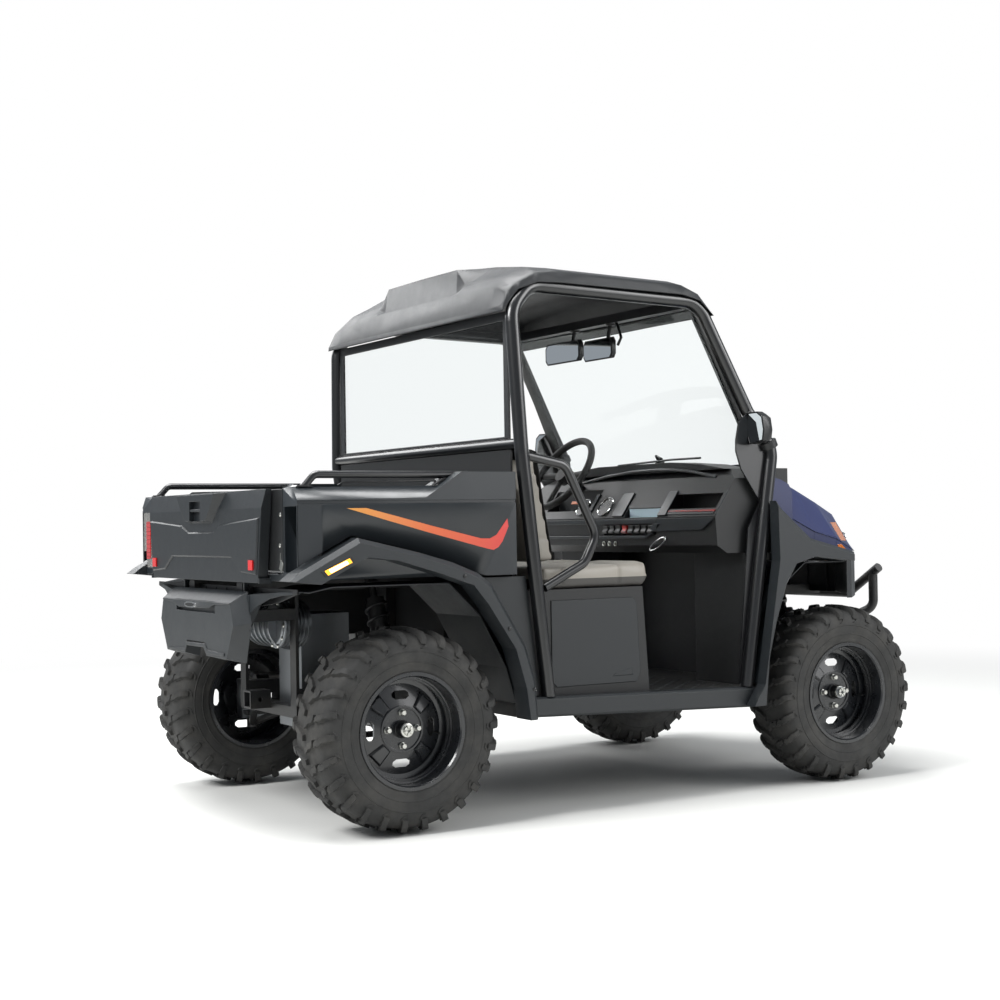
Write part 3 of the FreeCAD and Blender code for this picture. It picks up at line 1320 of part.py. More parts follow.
doc.recompute()
for item in doc.Objects:
    if "Invalid" in item.State or "Error" in item.State:
        raise RuntimeError(f"{item.Label} failed: {item.State}")
for label, item in parts.items():
    if item.Shape.isNull() or not item.Shape.isValid():
        raise RuntimeError(f"{label} has no valid shape")
for label, item in parts.items():
    item.Shape.exportStep(f"parts/{label}.step")
    print(label, len(item.Shape.Solids), round(item.Shape.Volume / 1e6, 2))
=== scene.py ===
import json
import math
import bmesh
import bpy
from mathutils import Matrix, Vector


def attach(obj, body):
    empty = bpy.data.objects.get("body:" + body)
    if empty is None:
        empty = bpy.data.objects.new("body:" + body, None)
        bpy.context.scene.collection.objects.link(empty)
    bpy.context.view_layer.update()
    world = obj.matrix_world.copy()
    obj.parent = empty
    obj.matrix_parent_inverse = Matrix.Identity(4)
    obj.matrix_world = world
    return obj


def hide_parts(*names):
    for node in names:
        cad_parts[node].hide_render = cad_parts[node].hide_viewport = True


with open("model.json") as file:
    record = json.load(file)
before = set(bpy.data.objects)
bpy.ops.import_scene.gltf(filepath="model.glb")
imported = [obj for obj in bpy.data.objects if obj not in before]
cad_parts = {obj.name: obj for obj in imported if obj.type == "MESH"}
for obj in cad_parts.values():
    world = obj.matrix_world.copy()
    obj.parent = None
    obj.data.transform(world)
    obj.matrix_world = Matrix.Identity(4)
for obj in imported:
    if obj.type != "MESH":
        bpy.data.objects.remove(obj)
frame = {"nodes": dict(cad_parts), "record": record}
nodes = frame["nodes"]
slotOf = {row["node"]: row["material_slot"] for row in frame["record"]["subparts"]}


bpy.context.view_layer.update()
rearAxle = -0.9825  # metres along the frame's X
frontAxle = 0.9175
view = {"place": (-3.4933, -5.529, 1.008), "yaw": 0.5414, "pitch": 0.0156, "roll": -0.0162, "lens": 58.99,
        "sensor": 36}


def placed(name, data):  # new object in the scene
    item = bpy.data.objects.new(name, data)
    bpy.context.scene.collection.objects.link(item)
    return item


def evaluated(item):  # plain mesh of an object with its modifiers
    bpy.context.view_layer.update()
    return bpy.data.meshes.new_from_object(item.evaluated_get(bpy.context.evaluated_depsgraph_get()))


def addCamera():
    s, c = math.sin(view["yaw"]), math.cos(view["yaw"])
    ahead, right, up = Vector((s, c, 0)), Vector((c, -s, 0)), Vector((0, 0, 1))
    cp, sp = math.cos(view["pitch"]), math.sin(view["pitch"])
    aim = ahead * cp + up * sp
    over = up * cp - ahead * sp
    cr, sr = math.cos(view["roll"]), math.sin(view["roll"])
    across = right * cr + over * sr
    above = over * cr - right * sr
    data = bpy.data.cameras.new("camera")
    data.lens = view["lens"]
    data.sensor_width = view["sensor"]
    camera = placed("camera", data)
    turned = Matrix((across, above, -aim)).transposed().to_4x4()
    camera.matrix_world = Matrix.Translation(Vector(view["place"])) @ turned
    bpy.context.scene.camera = camera


addCamera()
print("camera")


def linear(hexColour):  # sRGB hex to linear RGBA
    values = [int(hexColour[i:i + 2], 16) / 255 for i in (1, 3, 5)]
    return tuple(v / 12.92 if v <= 0.04045 else ((v + 0.055) / 1.055) ** 2.4 for v in values) + (1.0,)


def addNode(tree, kind, inputs=None, **settings):  # an input takes a value or another node's output
    node = tree.nodes.new(kind)
    for name, value in settings.items():
        setattr(node, name, value)
    for name, value in (inputs or {}).items():
        if isinstance(value, bpy.types.NodeSocket):
            tree.links.new(value, node.inputs[name])
        else:
            node.inputs[name].default_value = value
    return node


grainLook = {"detail": 3.0, "rough": 0.6}
spotLook = {"detail": 5.0, "rough": 0.7, "from": 0.35, "to": 0.75}
dustLook = {"scale": 11.0, "detail": 6.0, "rough": 0.65, "from": 0.45, "to": 0.8}


def addNoise(tree, place, scale, kind):
    return addNode(tree, "ShaderNodeTexNoise", {"Vector": place, "Scale": scale, "Detail": kind["detail"],
                                                "Roughness": kind["rough"]}).outputs["Fac"]


# grain is (scale per metre, strength, depth in metres), spots are (scale, change of roughness),
# dust is (colour, share), and edge is the radius of the rounded edges in metres
def newMaterial(name, colour, rough, metal=0.0, coat=0.0, ior=1.5, clear=0.0, grain=None, spots=None,
                dust=None, edge=0.0, glow=0.0):
    material = bpy.data.materials.new(name)
    material.use_nodes = True
    tree = material.node_tree
    shader = tree.nodes["Principled BSDF"]
    values = {"Base Color": linear(colour), "Roughness": rough, "Metallic": metal, "Coat Weight": coat,
              "Coat Roughness": 0.08, "Transmission Weight": clear}
    if glow:
        values.update({"Emission Color": linear(colour), "Emission Strength": glow})
    if not metal:
        values["IOR"] = ior
    for key, value in values.items():
        shader.inputs[key].default_value = value
    place = addNode(tree, "ShaderNodeTexCoord").outputs["Object"]
    normal = None
    if edge:
        normal = addNode(tree, "ShaderNodeBevel", {"Radius": edge}, samples=3).outputs["Normal"]
    if grain:
        height = addNoise(tree, place, grain[0], grainLook)
        bump = addNode(tree, "ShaderNodeBump", {"Height": height, "Strength": grain[1], "Distance": grain[2]})
        if normal:
            tree.links.new(normal, bump.inputs["Normal"])
        normal = bump.outputs["Normal"]
    if normal:
        tree.links.new(normal, shader.inputs["Normal"])
    if spots:
        ramp = addNode(tree, "ShaderNodeMapRange", {
            "Value": addNoise(tree, place, spots[0], spotLook), "From Min": spotLook["from"],
            "From Max": spotLook["to"], "To Min": rough - spots[1], "To Max": rough + spots[1]})
        tree.links.new(ramp.outputs["Result"], shader.inputs["Roughness"])
    if dust:
        ramp = addNode(tree, "ShaderNodeMapRange", {
            "Value": addNoise(tree, place, dustLook["scale"], dustLook), "From Min": dustLook["from"],
            "From Max": dustLook["to"], "To Min": 0.0, "To Max": dust[1]})
        blend = addNode(tree, "ShaderNodeMix", {"A": linear(colour), "B": linear(dust[0]),
                                                "Factor": ramp.outputs["Result"]}, data_type="RGBA")
        tree.links.new(blend.outputs["Result"], shader.inputs["Base Color"])
    return material


look = {
    "tyre_rubber": newMaterial("tyre_rubber", "#232322", 0.78, grain=(900, 0.4, 0.0006), spots=(14, 0.12),
                               dust=("#4d4a45", 0.45), edge=0.003),
    "wheel_steel": newMaterial("black_enamel_steel", "#15171a", 0.32, coat=0.4, spots=(18, 0.08),
                               edge=0.0015),
    "frame_steel": newMaterial("black_powder_coat", "#121314", 0.48, grain=(1400, 0.15, 0.0003), edge=0.002,
                               dust=("#4a4640", 0.35)),
    "cage_steel": newMaterial("black_tube_paint", "#0e0f11", 0.3, coat=0.3, grain=(1800, 0.08, 0.0003),
                              edge=0.0015),
    "slate_body": newMaterial("slate_moulding", "#181d21", 0.38, coat=0.1, grain=(700, 0.12, 0.0004),
                              spots=(9, 0.07), edge=0.003),
    "navy_gloss": newMaterial("navy_gloss_paint", "#0c1a4c", 0.42, coat=0.15),
    "side_plastic": newMaterial("side_moulding", "#171b1e", 0.42, grain=(900, 0.2, 0.0004), spots=(9, 0.06),
                                edge=0.003),
    "grained_plastic": newMaterial("grained_moulding", "#1b1f22", 0.46, grain=(1500, 0.45, 0.0006),
                                   spots=(9, 0.05), edge=0.003),
    "roof_plastic": newMaterial("roof_moulding", "#1b1d1f", 0.5, grain=(1100, 0.35, 0.0006), spots=(7, 0.05),
                                edge=0.006),
    "tub_plastic": newMaterial("bed_moulding", "#15191c", 0.42, grain=(1200, 0.3, 0.0005), spots=(8, 0.06),
                               edge=0.003),
    "floor_plastic": newMaterial("floor_moulding", "#151616", 0.55, grain=(600, 0.4, 0.001),
                                 dust=("#5a5650", 0.3)),
    "dash_plastic": newMaterial("dash_moulding", "#111213", 0.5, grain=(1500, 0.4, 0.0005), edge=0.004),
    "window_glass": newMaterial("window_glass", "#f4f8f8", 0.0, clear=1.0, ior=1.12),
    "seat_vinyl": newMaterial("seat_vinyl", "#918c83", 0.46, grain=(1300, 0.4, 0.0006), spots=(12, 0.06)),
    "lamp_lens": newMaterial("lamp_lens", "#f2efe9", 0.08, clear=0.85, ior=1.49, edge=0.003),
    "lamp_clear": newMaterial("lamp_glass", "#f4f6f7", 0.05, clear=0.9, ior=1.49, edge=0.003),
    "lamp_amber": newMaterial("amber_lens", "#e07b16", 0.15, coat=0.5, clear=0.3, edge=0.003),
    "reflector_red": newMaterial("red_reflector", "#c01818", 0.15, coat=0.6, grain=(600, 0.5, 0.0006)),
    "cast_alloy": newMaterial("cast_alloy", "#85888b", 0.42, metal=1.0, grain=(500, 0.3, 0.0008), edge=0.002),
    "battery_case": newMaterial("battery_case", "#222222", 0.5, edge=0.003),
    "shock_steel": newMaterial("shock_paint", "#151515", 0.3, coat=0.3, edge=0.001),
    "shaft_steel": newMaterial("machined_steel", "#7c7d7e", 0.35, metal=1.0),
    "grip_foam": newMaterial("grip_foam", "#161616", 0.65, grain=(1800, 0.3, 0.0004)),
}
extra = {
    "zinc": newMaterial("zinc_plate", "#c3c3bd", 0.28, metal=1.0, edge=0.0008),
    "chrome": newMaterial("chrome_plate", "#dcdcdc", 0.08, metal=1.0),
    "black_satin": newMaterial("black_satin_plastic", "#101112", 0.4, grain=(1500, 0.25, 0.0004), edge=0.002),
    "webbing": newMaterial("black_webbing", "#141414", 0.7, grain=(2200, 0.6, 0.0006)),
    "mirror": newMaterial("mirror_glass", "#d8dde0", 0.02, metal=1.0),
    "pale_screen": newMaterial("display_glass", "#b9cdd8", 0.15, coat=0.5),
    "dial": newMaterial("dial_face", "#e8e9ea", 0.3, coat=0.4),
    "orange": newMaterial("orange_trim", "#d8671a", 0.4),
    "dark_red": newMaterial("dark_red_key", "#7a1713", 0.35),
    "amber_lit": newMaterial("lit_amber_lens", "#ffb02e", 0.3, glow=1.6),
    "white_lit": newMaterial("lit_lamp_core", "#fff4dc", 0.3, glow=2.2),
    "red_lens": newMaterial("red_lens", "#a81414", 0.12, coat=0.6),
    "black_glass": newMaterial("black_dial_glass", "#08090a", 0.35),
    "grille_net": newMaterial("grille_net", "#0e0f10", 0.6),
    "checker": newMaterial("checker_plate", "#6d6f6f", 0.42, metal=1.0, grain=(900, 0.2, 0.0004), edge=0.001),
    # darker vinyl tone: painted shade for the lower side of the seat cushion
    "vinyl_shade": newMaterial("vinyl_painted_shade", "#403e3b", 0.5, grain=(1300, 0.4, 0.0006)),
}


def dressNodes():
    for name, item in nodes.items():
        item.data.materials.clear()
        item.data.materials.append(look[slotOf[name]])


dressNodes()
print("materials")


def at(x, y, z):  # x counted from the rear axle
    return Vector((rearAxle + x, y, z))


def addBox(bm, low, high):
    xs, ys, zs = zip(low, high)
    corners = [bm.verts.new((x, y, z)) for x in xs for y in ys for z in zs]
    for face in ((0, 1, 3, 2), (4, 6, 7, 5), (0, 4, 5, 1), (2, 3, 7, 6), (0, 2, 6, 4), (1, 5, 7, 3)):
        bm.faces.new([corners[i] for i in face])


def loft(bm, rings, closed=False):  # skin over rings of points with the same count
    pairs = list(zip(rings, rings[1:])) + ([(rings[-1], rings[0])] if closed else [])
    for one, two in pairs:
        for k in range(len(one)):
            m = (k + 1) % len(one)
            bm.faces.new((one[k], one[m], two[m], two[k]))
    if not closed:
        bm.faces.new(rings[0][::-1])
        bm.faces.new(rings[-1])


def addPrism(bm, points, offset):  # polygon swept by a vector
    near = [bm.verts.new(p) for p in points]
    far = [bm.verts.new(Vector(p) + Vector(offset)) for p in points]
    bm.faces.new(near[::-1])
    bm.faces.new(far)
    for i in range(len(near)):
        j = (i + 1) % len(near)
        bm.faces.new((near[i], near[j], far[j], far[i]))


def flatPanel(bm, x, rows, depth):  # polygon of (y, z) swept rearwards
    addPrism(bm, [at(x, y, z) for y, z in rows], (-depth, 0, 0))


def addTube(bm, points, radius, sides=12, closed=False):  # round rod along points
    points = [Vector(p) for p in points]
    rings = []
    for i, p in enumerate(points):
        before = points[i - 1] if i or closed else p
        after = points[(i + 1) % len(points)] if i + 1 < len(points) or closed else p
        way = (after - before).normalized()
        side = way.orthogonal().normalized() if not rings else (last - way * last.dot(way)).normalized()
        last = side
        other = way.cross(side)
        rings.append([bm.verts.new(p + (side * math.cos(a) + other * math.sin(a)) * radius)
                      for a in (2 * math.pi * n / sides for n in range(sides))])
    loft(bm, rings, closed)


def addLathe(bm, centre, axis, profile, sides=32):  # profile of (radius, along axis), closed loop
    axis = Vector(axis).normalized()
    side = axis.orthogonal().normalized()
    other = axis.cross(side)
    centre = Vector(centre)
    loops = []
    for n in range(sides):
        a = 2 * math.pi * n / sides
        out = side * math.cos(a) + other * math.sin(a)
        loops.append([bm.verts.new(centre + out * r + axis * h) for r, h in profile])
    for n in range(sides):
        one, two = loops[n], loops[(n + 1) % sides]
        for k in range(len(profile)):
            j = (k + 1) % len(profile)
            bm.faces.new((one[k], one[j], two[j], two[k]))
    bmesh.ops.remove_doubles(bm, verts=[v for loop in loops for v in loop], dist=1e-6)


def meshOf(bm, name):
    mesh = bpy.data.meshes.new(name)
    bm.to_mesh(mesh)
    bm.free()
    return mesh


def plainMesh(bm, name):
    bmesh.ops.recalc_face_normals(bm, faces=bm.faces)
    return meshOf(bm, name)


def shade(mesh, angle):  # smooth, but sharp past the angle in degrees
    mesh.shade_smooth()
    mesh.set_sharp_from_angle(angle=math.radians(angle))


def finishPiece(bm, name, material, body, bevel=0.0, smooth=35):
    bmesh.ops.recalc_face_normals(bm, faces=bm.faces)
    if bevel:
        # only edges that turn by more than 0.5 radians
        edges = [e for e in bm.edges if len(e.link_faces) == 2 and e.calc_face_angle(0) > 0.5]
        bmesh.ops.bevel(bm, geom=edges, offset=bevel, segments=2, affect="EDGES", clamp_overlap=True)
    mesh = meshOf(bm, name)
    mesh.materials.append(material)
    shade(mesh, smooth)
    item = placed(name, mesh)
    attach(item, body)
    return item


def copyTree(name, extraInputs):  # copies of a part on points, made real and painted
    tree = bpy.data.node_groups.new(name, "GeometryNodeTree")
    kinds = {"Geometry": "NodeSocketGeometry", "Part": "NodeSocketObject", "Material": "NodeSocketMaterial"}
    names = {key: tree.interface.new_socket(key, in_out="INPUT", socket_type=kind).identifier
             for key, kind in {**kinds, **extraInputs}.items()}
    tree.interface.new_socket("Geometry", in_out="OUTPUT", socket_type="NodeSocketGeometry")
    start = addNode(tree, "NodeGroupInput")
    info = addNode(tree, "GeometryNodeObjectInfo", {"Object": start.outputs["Part"]})
    copies = addNode(tree, "GeometryNodeInstanceOnPoints", {"Instance": info.outputs["Geometry"]})
    real = addNode(tree, "GeometryNodeRealizeInstances", {"Geometry": copies.outputs["Instances"]})
    paint = addNode(tree, "GeometryNodeSetMaterial", {"Geometry": real.outputs["Geometry"],
                                                      "Material": start.outputs["Material"]})
    addNode(tree, "NodeGroupOutput", {"Geometry": paint.outputs["Geometry"]})
    return tree, names, start, copies


def scatterTree():  # copies at a mesh's points, turned to an axis
    tree, names, start, copies = copyTree("scatter", {"Axis": "NodeSocketVector"})
    turn = addNode(tree, "FunctionNodeAlignRotationToVector", {"Vector": start.outputs["Axis"]}, axis="Z")
    tree.links.new(start.outputs["Geometry"], copies.inputs["Points"])
    tree.links.new(turn.outputs["Rotation"], copies.inputs["Rotation"])
    return tree, names


def polarTree():  # copies turned about the Y axis in equal steps
    tree, names, start, copies = copyTree("polar", {"Count": "NodeSocketInt"})
    count = start.outputs["Count"]
    row = addNode(tree, "GeometryNodeMeshLine", {"Offset": (0, 0, 0), "Count": count})
    index = addNode(tree, "GeometryNodeInputIndex")
    step = addNode(tree, "ShaderNodeMath", {0: 2 * math.pi, 1: count}, operation="DIVIDE")
    angle = addNode(tree, "ShaderNodeMath", {0: step.outputs["Value"], 1: index.outputs["Index"]},
                    operation="MULTIPLY")
    turn = addNode(tree, "ShaderNodeCombineXYZ", {"Y": angle.outputs["Value"]})
    tree.links.new(row.outputs["Mesh"], copies.inputs["Points"])
    tree.links.new(turn.outputs["Vector"], copies.inputs["Rotation"])
    return tree, names


scatter = scatterTree()
polar = polarTree()


def copied(name, mesh, group, values):  # the plain mesh that a copying group makes
    tree, names = group
    holder = placed(name + "_points", mesh)
    modifier = holder.modifiers.new(tree.name, "NODES")
    modifier.node_group = tree
    for key, value in values.items():
        modifier[names[key]] = value
    result = evaluated(holder)
    bpy.data.objects.remove(holder)
    result.name = name
    return result


def partMesh(name, profile, sides):  # a small turned or hexagonal part along Z
    bm = bmesh.new()
    addLathe(bm, (0, 0, 0), (0, 0, 1), profile, sides)
    return bpy.data.objects.new(name, plainMesh(bm, name))


def scatterPieces(name, part, points, axis, material, body):
    cloud = bpy.data.meshes.new(name + "_points")
    cloud.from_pydata([tuple(p) for p in points], [], [])
    mesh = copied(name, cloud, scatter, {"Part": part, "Material": material, "Axis": tuple(axis)})
    shade(mesh, 35)
    item = placed(name, mesh)
    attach(item, body)
    return item


domeHead = partMesh("dome_head", [(0.0, 0.0), (0.0075, 0.0), (0.007, 0.0022), (0.0045, 0.0038),
                                  (0.0, 0.0044)], 16)
coneNut = partMesh("cone_nut", [(0.0, -0.002), (0.0125, -0.002), (0.0125, 0.005), (0.0108, 0.006),
                                (0.0108, 0.016), (0.008, 0.019), (0.0, 0.019)], 6)
wheels = {"rear_right": (rearAxle, -0.66, -1, 0.0401, 0.135), "rear_left": (rearAxle, 0.66, 1, 0.0401, 0.135),
          "front_right": (frontAxle, -0.675, -1, 0.0225, 0.115),
          "front_left": (frontAxle, 0.675, 1, 0.0225, 0.115)}
tyreLook = {"pitches": 26, "sides": 104, "axle": 0.34, "turn": 0.33, "rings": (0.228, 0.262), "flare": 0.0025,
            "deep": 0.019,
            # share of the half width, radius
            "skin": [(0.88, 0.1825), (0.88, 0.1945), (0.9, 0.1985), (0.916, 0.2045), (0.912, 0.2085),
                     (0.935, 0.217), (0.957, 0.236), (0.966, 0.255), (0.955, 0.277), (0.905, 0.298),
                     (0.83, 0.3095), (0.7, 0.318), (0.5, 0.3235), (0.25, 0.3262), (0.0, 0.3268)],
            "crown": [(0.0, 0.339), (0.3, 0.339), (0.5, 0.3375), (0.7, 0.3335), (0.83, 0.327), (0.92, 0.3165),
                      (0.975, 0.303), (0.99, 0.288)],
            # share of the half width, way round in metres, half breadth
            "inner": [(0.03, -0.007, 0.0085), (0.13, 0.0, 0.0095), (0.24, 0.012, 0.009),
                      (0.34, 0.013, 0.0095), (0.46, 0.024, 0.008)],
            "outer": [(0.53, 0.016, 0.008), (0.62, 0.025, 0.0105), (0.73, 0.026, 0.0095),
                      (0.83, 0.037, 0.0105), (0.915, 0.041, 0.011), (0.965, 0.044, 0.0095)],
            "side": [(0.273, 0.040, 0.0075), (0.279, 0.052, 0.005), (0.290, 0.058, 0.005)]}
rimLook = {"stud": 0.055, "studs": 4, "well": 0.1777, "steps": ((0.1775, 0.5), (0.171, 0.34), (0.1645, 0.2)),
           # radius, height over the hub's face
           "collar": [(0.030, 0.0004), (0.030, 0.006), (0.0265, 0.009), (0.0265, 0.030), (0.0245, 0.033),
                      (0.0225, 0.033), (0.0225, 0.0004)],
           "nut": [(0.0232, 0.033), (0.0232, 0.0402), (0.019, 0.0412), (0.0, 0.0412), (0.0, 0.0404),
                   (0.0222, 0.0404), (0.0222, 0.033)],
           "hub": [(0.079, -0.001), (0.079, 0.004), (0.0745, 0.0052), (0.070, 0.004), (0.070, -0.001)],
           # radius, breadth of each tooth of the castle nut
           "tooth": ((0.006, -0.003), (0.0165, -0.0068), (0.0165, 0.0068), (0.006, 0.003)),
           "teeth": 6, "toothFoot": 0.041, "toothHigh": 0.0105,
           # radius, breadth, height of a pressed arm's foot and top
           "armFoot": ((0.080, -0.020, 0.0), (0.140, -0.030, -0.0125), (0.140, 0.030, -0.0125),
                       (0.080, 0.020, 0.0)),
           "armTop": ((0.086, -0.0135, 0.0062), (0.134, -0.0215, -0.0045), (0.134, 0.0215, -0.0045),
                      (0.086, 0.0135, 0.0062)),
           # x and z from the axle, height over the face
           "valve": ((0.128, -0.020, -0.008), (0.132, -0.022, 0.022)), "valveRound": 0.0035}


def between(rows, share):
    for (a, low), (b, high) in zip(rows, rows[1:]):
        if share <= b:
            return low + (high - low) * (share - a) / (b - a)
    return rows[-1][1]


def addLug(bm, stations, half, side, shift):  # bar of foot and top points that follows the tread
    rings = []
    for share, way, wide in stations:
        top = between(tyreLook["crown"], share)
        foot = max(between(tyreLook["skin"][:6:-1], share) - tyreLook["flare"], top - tyreLook["deep"])
        base = wide + tyreLook["flare"]
        ring = []
        for r, w in ((foot, -base), (top, -wide), (top, wide), (foot, base)):
            a = (way + w) / tyreLook["turn"] + shift
            ring.append(bm.verts.new((r * math.sin(a), side * share * half, r * math.cos(a))))
        rings.append(ring)
    loft(bm, rings)


def addBiter(bm, stations, half, side, shift):  # low hooked ridge on the side wall
    rings = []
    wall = [(r, s) for s, r in tyreLook["skin"]]
    for r, way, wide in stations:
        share = between(wall[:9], r) if r < 0.277 else between(wall[8:], r)
        ring = []
        for lift, w in ((-0.002, -wide - 0.001), (0.003, -wide), (0.003, wide), (-0.002, wide + 0.001)):
            a = (way + w) / tyreLook["turn"] + shift
            y = side * min(share * half + lift, half - 0.0004)
            ring.append(bm.verts.new((r * math.sin(a), y, r * math.cos(a))))
        rings.append(ring)
    loft(bm, rings)


def addTyre(name, x, y, side, half):
    bm = bmesh.new()
    pitch = 2 * math.pi / tyreLook["pitches"]
    for way, shift in ((side, 0.0), (-side, pitch / 2)):
        addLug(bm, tyreLook["inner"], half, way, shift)
        addLug(bm, tyreLook["outer"], half, way, shift)
        addBiter(bm, tyreLook["side"], half, way, shift)
    part = bpy.data.objects.new("lug_pitch", plainMesh(bm, "lug_pitch"))
    ring = copied("lug_ring", bpy.data.meshes.new("lug_ring"), polar,
                  {"Part": part, "Count": tyreLook["pitches"], "Material": look["tyre_rubber"]})
    bpy.data.objects.remove(part)
    rows = tyreLook["skin"]
    skin = [(r, -s * half) for s, r in rows] + [(r, s * half) for s, r in rows[-2::-1]]
    bm = bmesh.new()
    addLathe(bm, (0, 0, 0), (0, 1, 0), skin, tyreLook["sides"])
    for r in tyreLook["rings"]:  # moulded lines round each side wall
        wall = between([(b, a) for a, b in rows[:8]], r) * half
        for end in (-1, 1):
            line = [(r - 0.002, wall - 0.001), (r - 0.001, wall + 0.001), (r + 0.001, wall + 0.0012),
                    (r + 0.002, wall - 0.001)]
            addLathe(bm, (0, 0, 0), (0, 1, 0), [(radius, end * height) for radius, height in line], 72)
    bmesh.ops.recalc_face_normals(bm, faces=bm.faces)
    bm.from_mesh(ring)
    bpy.data.meshes.remove(ring)
    bmesh.ops.translate(bm, vec=(x, y, tyreLook["axle"]), verts=bm.verts)
    mesh = meshOf(bm, "tread_" + name)
    mesh.materials.clear()
    mesh.materials.append(look["tyre_rubber"])
    shade(mesh, 38)
    item = placed("tread_" + name, mesh)
    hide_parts("tyre_" + name)
    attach(item, "wheel_" + name)


def wheelWays(angle):  # outwards and round, in the wheel's plane
    a = math.radians(angle)
    return Vector((math.cos(a), 0, math.sin(a))), Vector((-math.sin(a), 0, math.cos(a)))


def addRimTrim(name, x, y, side, hub, half):
    body = "wheel_" + name
    centre = Vector((x, y + side * hub, tyreLook["axle"]))  # middle of the hub's face
    axis = Vector((0, side, 0))
    count = rimLook["studs"]
    studs = [centre + wheelWays(360 * n / count)[0] * rimLook["stud"] for n in range(count)]
    scatterPieces("nuts_" + name, coneNut, studs, axis, extra["zinc"], body)
    bm = bmesh.new()
    addLathe(bm, centre, axis, rimLook["collar"], 40)
    finishPiece(bm, "collar_" + name, extra["black_satin"], body, smooth=40)
    bm = bmesh.new()
    addLathe(bm, centre, axis, rimLook["nut"], 40)
    for n in range(rimLook["teeth"]):
        out, cross = wheelWays(60 * n + 30)
        foot = centre + axis * rimLook["toothFoot"]
        addPrism(bm, [foot + out * r + cross * w for r, w in rimLook["tooth"]], axis * rimLook["toothHigh"])
    finishPiece(bm, "castle_nut_" + name, extra["zinc"], body, bevel=0.0006)
    bm = bmesh.new()
    for n in range(count):
        out, cross = wheelWays(360 * n / count + 45)
        loft(bm, [[bm.verts.new(centre + out * r + cross * w + axis * h) for r, w, h in rows]
                  for rows in (rimLook["armFoot"], rimLook["armTop"])])
    addLathe(bm, centre, axis, rimLook["hub"], 48)
    bead = half * 0.88 - 0.004
    for r, share in rimLook["steps"]:
        lip, well = hub + (bead - hub) * share, rimLook["well"]
        step = [(well, lip), (r, lip - 0.001), (r, lip - 0.012), (well, lip - 0.018)]
        addLathe(bm, (x, y, tyreLook["axle"]), axis, step, 64)
    finishPiece(bm, "pressing_" + name, look["wheel_steel"], body, bevel=0.0012)
    bm = bmesh.new()
    addTube(bm, [centre + Vector((a, side * h, b)) for a, b, h in rimLook["valve"]], rimLook["valveRound"],
            10)
    finishPiece(bm, "valve_" + name, extra["black_satin"], body)


def addWheels():
    for name, (x, y, side, hub, half) in wheels.items():
        addTyre(name, x, y, side, half)
        addRimTrim(name, x, y, side, hub, half)


addWheels()
print("wheels")


stripeLook = {"colours": ("#d4913c", "#d0612f", "#c43430"), "from": -0.21, "to": 0.39, "face": 0.7479,
              "thick": 0.0007,
              "band": [(-0.213, 1.072), (-0.143, 1.072), (-0.05, 1.049), (0.095, 1.012), (0.286, 0.966),
                       (0.322, 0.965), (0.348, 0.977), (0.392, 1.032), (0.396, 1.005), (0.372, 0.955),
                       (0.355, 0.935), (0.336, 0.926), (0.31, 0.931), (0.08, 0.991), (-0.063, 1.030)]}


def addStripe():  # swept band on each bed side, blended from amber to red
    material = newMaterial("stripe_film", "#cf6a30", 0.35, coat=0.3)
    tree = material.node_tree
    place = addNode(tree, "ShaderNodeTexCoord")
    split = addNode(tree, "ShaderNodeSeparateXYZ", {"Vector": place.outputs["Object"]})
    spread = addNode(tree, "ShaderNodeMapRange", {"Value": split.outputs["X"],
                                                  "From Min": rearAxle + stripeLook["from"],
                                                  "From Max": rearAxle + stripeLook["to"]})
    ramp = addNode(tree, "ShaderNodeValToRGB", {"Fac": spread.outputs["Result"]})
    ramp.color_ramp.elements.new(0.5)
    for element, colour in zip(ramp.color_ramp.elements, stripeLook["colours"]):
        element.color = linear(colour)
    tree.links.new(ramp.outputs["Color"], tree.nodes["Principled BSDF"].inputs["Base Color"])
    bm = bmesh.new()
    for side in (-1, 1):
        addPrism(bm, [at(x, side * stripeLook["face"], z) for x, z in stripeLook["band"]],
                 (0, side * stripeLook["thick"], 0))
    finishPiece(bm, "side_stripes", material, "bed")


addStripe()
flareLook = {"quad": [(-0.321, 0.873), (-0.234, 0.911), (-0.224, 0.898), (-0.309, 0.859)], "face": 0.8046,
             # growth about the middle, start over the face, thickness
             "frame": (1.22, 0.0, 0.0022), "lens": (1.0, 0.0022, 0.0012), "core": (0.72, 0.0034, 0.0006),
             "bolts": ((0.19, 0.842), (0.36, 0.66), (0.455, 0.45)), "boltFace": 0.8048}


def grown(points, across, up=None):  # outline scaled about its middle
    middle = [sum(p[i] for p in points) / len(points) for i in (0, 1)]
    up = across if up is None else up
    return [(middle[0] + (a - middle[0]) * across, middle[1] + (b - middle[1]) * up) for a, b in points]


def addFlareLamps():
    for name, layer, material, slotName in (
            ("flare_lamp_frames", "frame", extra["black_satin"], "grained_plastic"),
            ("flare_lamp_lenses", "lens", extra["amber_lit"], "lamp_amber"),
            ("flare_lamp_cores", "core", extra["white_lit"], "lamp_amber")):
        growth, start, thick = flareLook[layer]
        bm = bmesh.new()
        for side in (-1, 1):
            addPrism(bm, [at(x, side * (flareLook["face"] + start), z)
                          for x, z in grown(flareLook["quad"], growth)], (0, side * thick, 0))
        finishPiece(bm, name, material, "chassis")
    for side, word in ((-1, "right"), (1, "left")):
        points = [at(x, side * flareLook["boltFace"], z) for x, z in flareLook["bolts"]]
        scatterPieces("flare_bolts_" + word, domeHead, points, (0, side, 0), extra["black_satin"], "chassis")


addFlareLamps()
print("stripes and lamps")


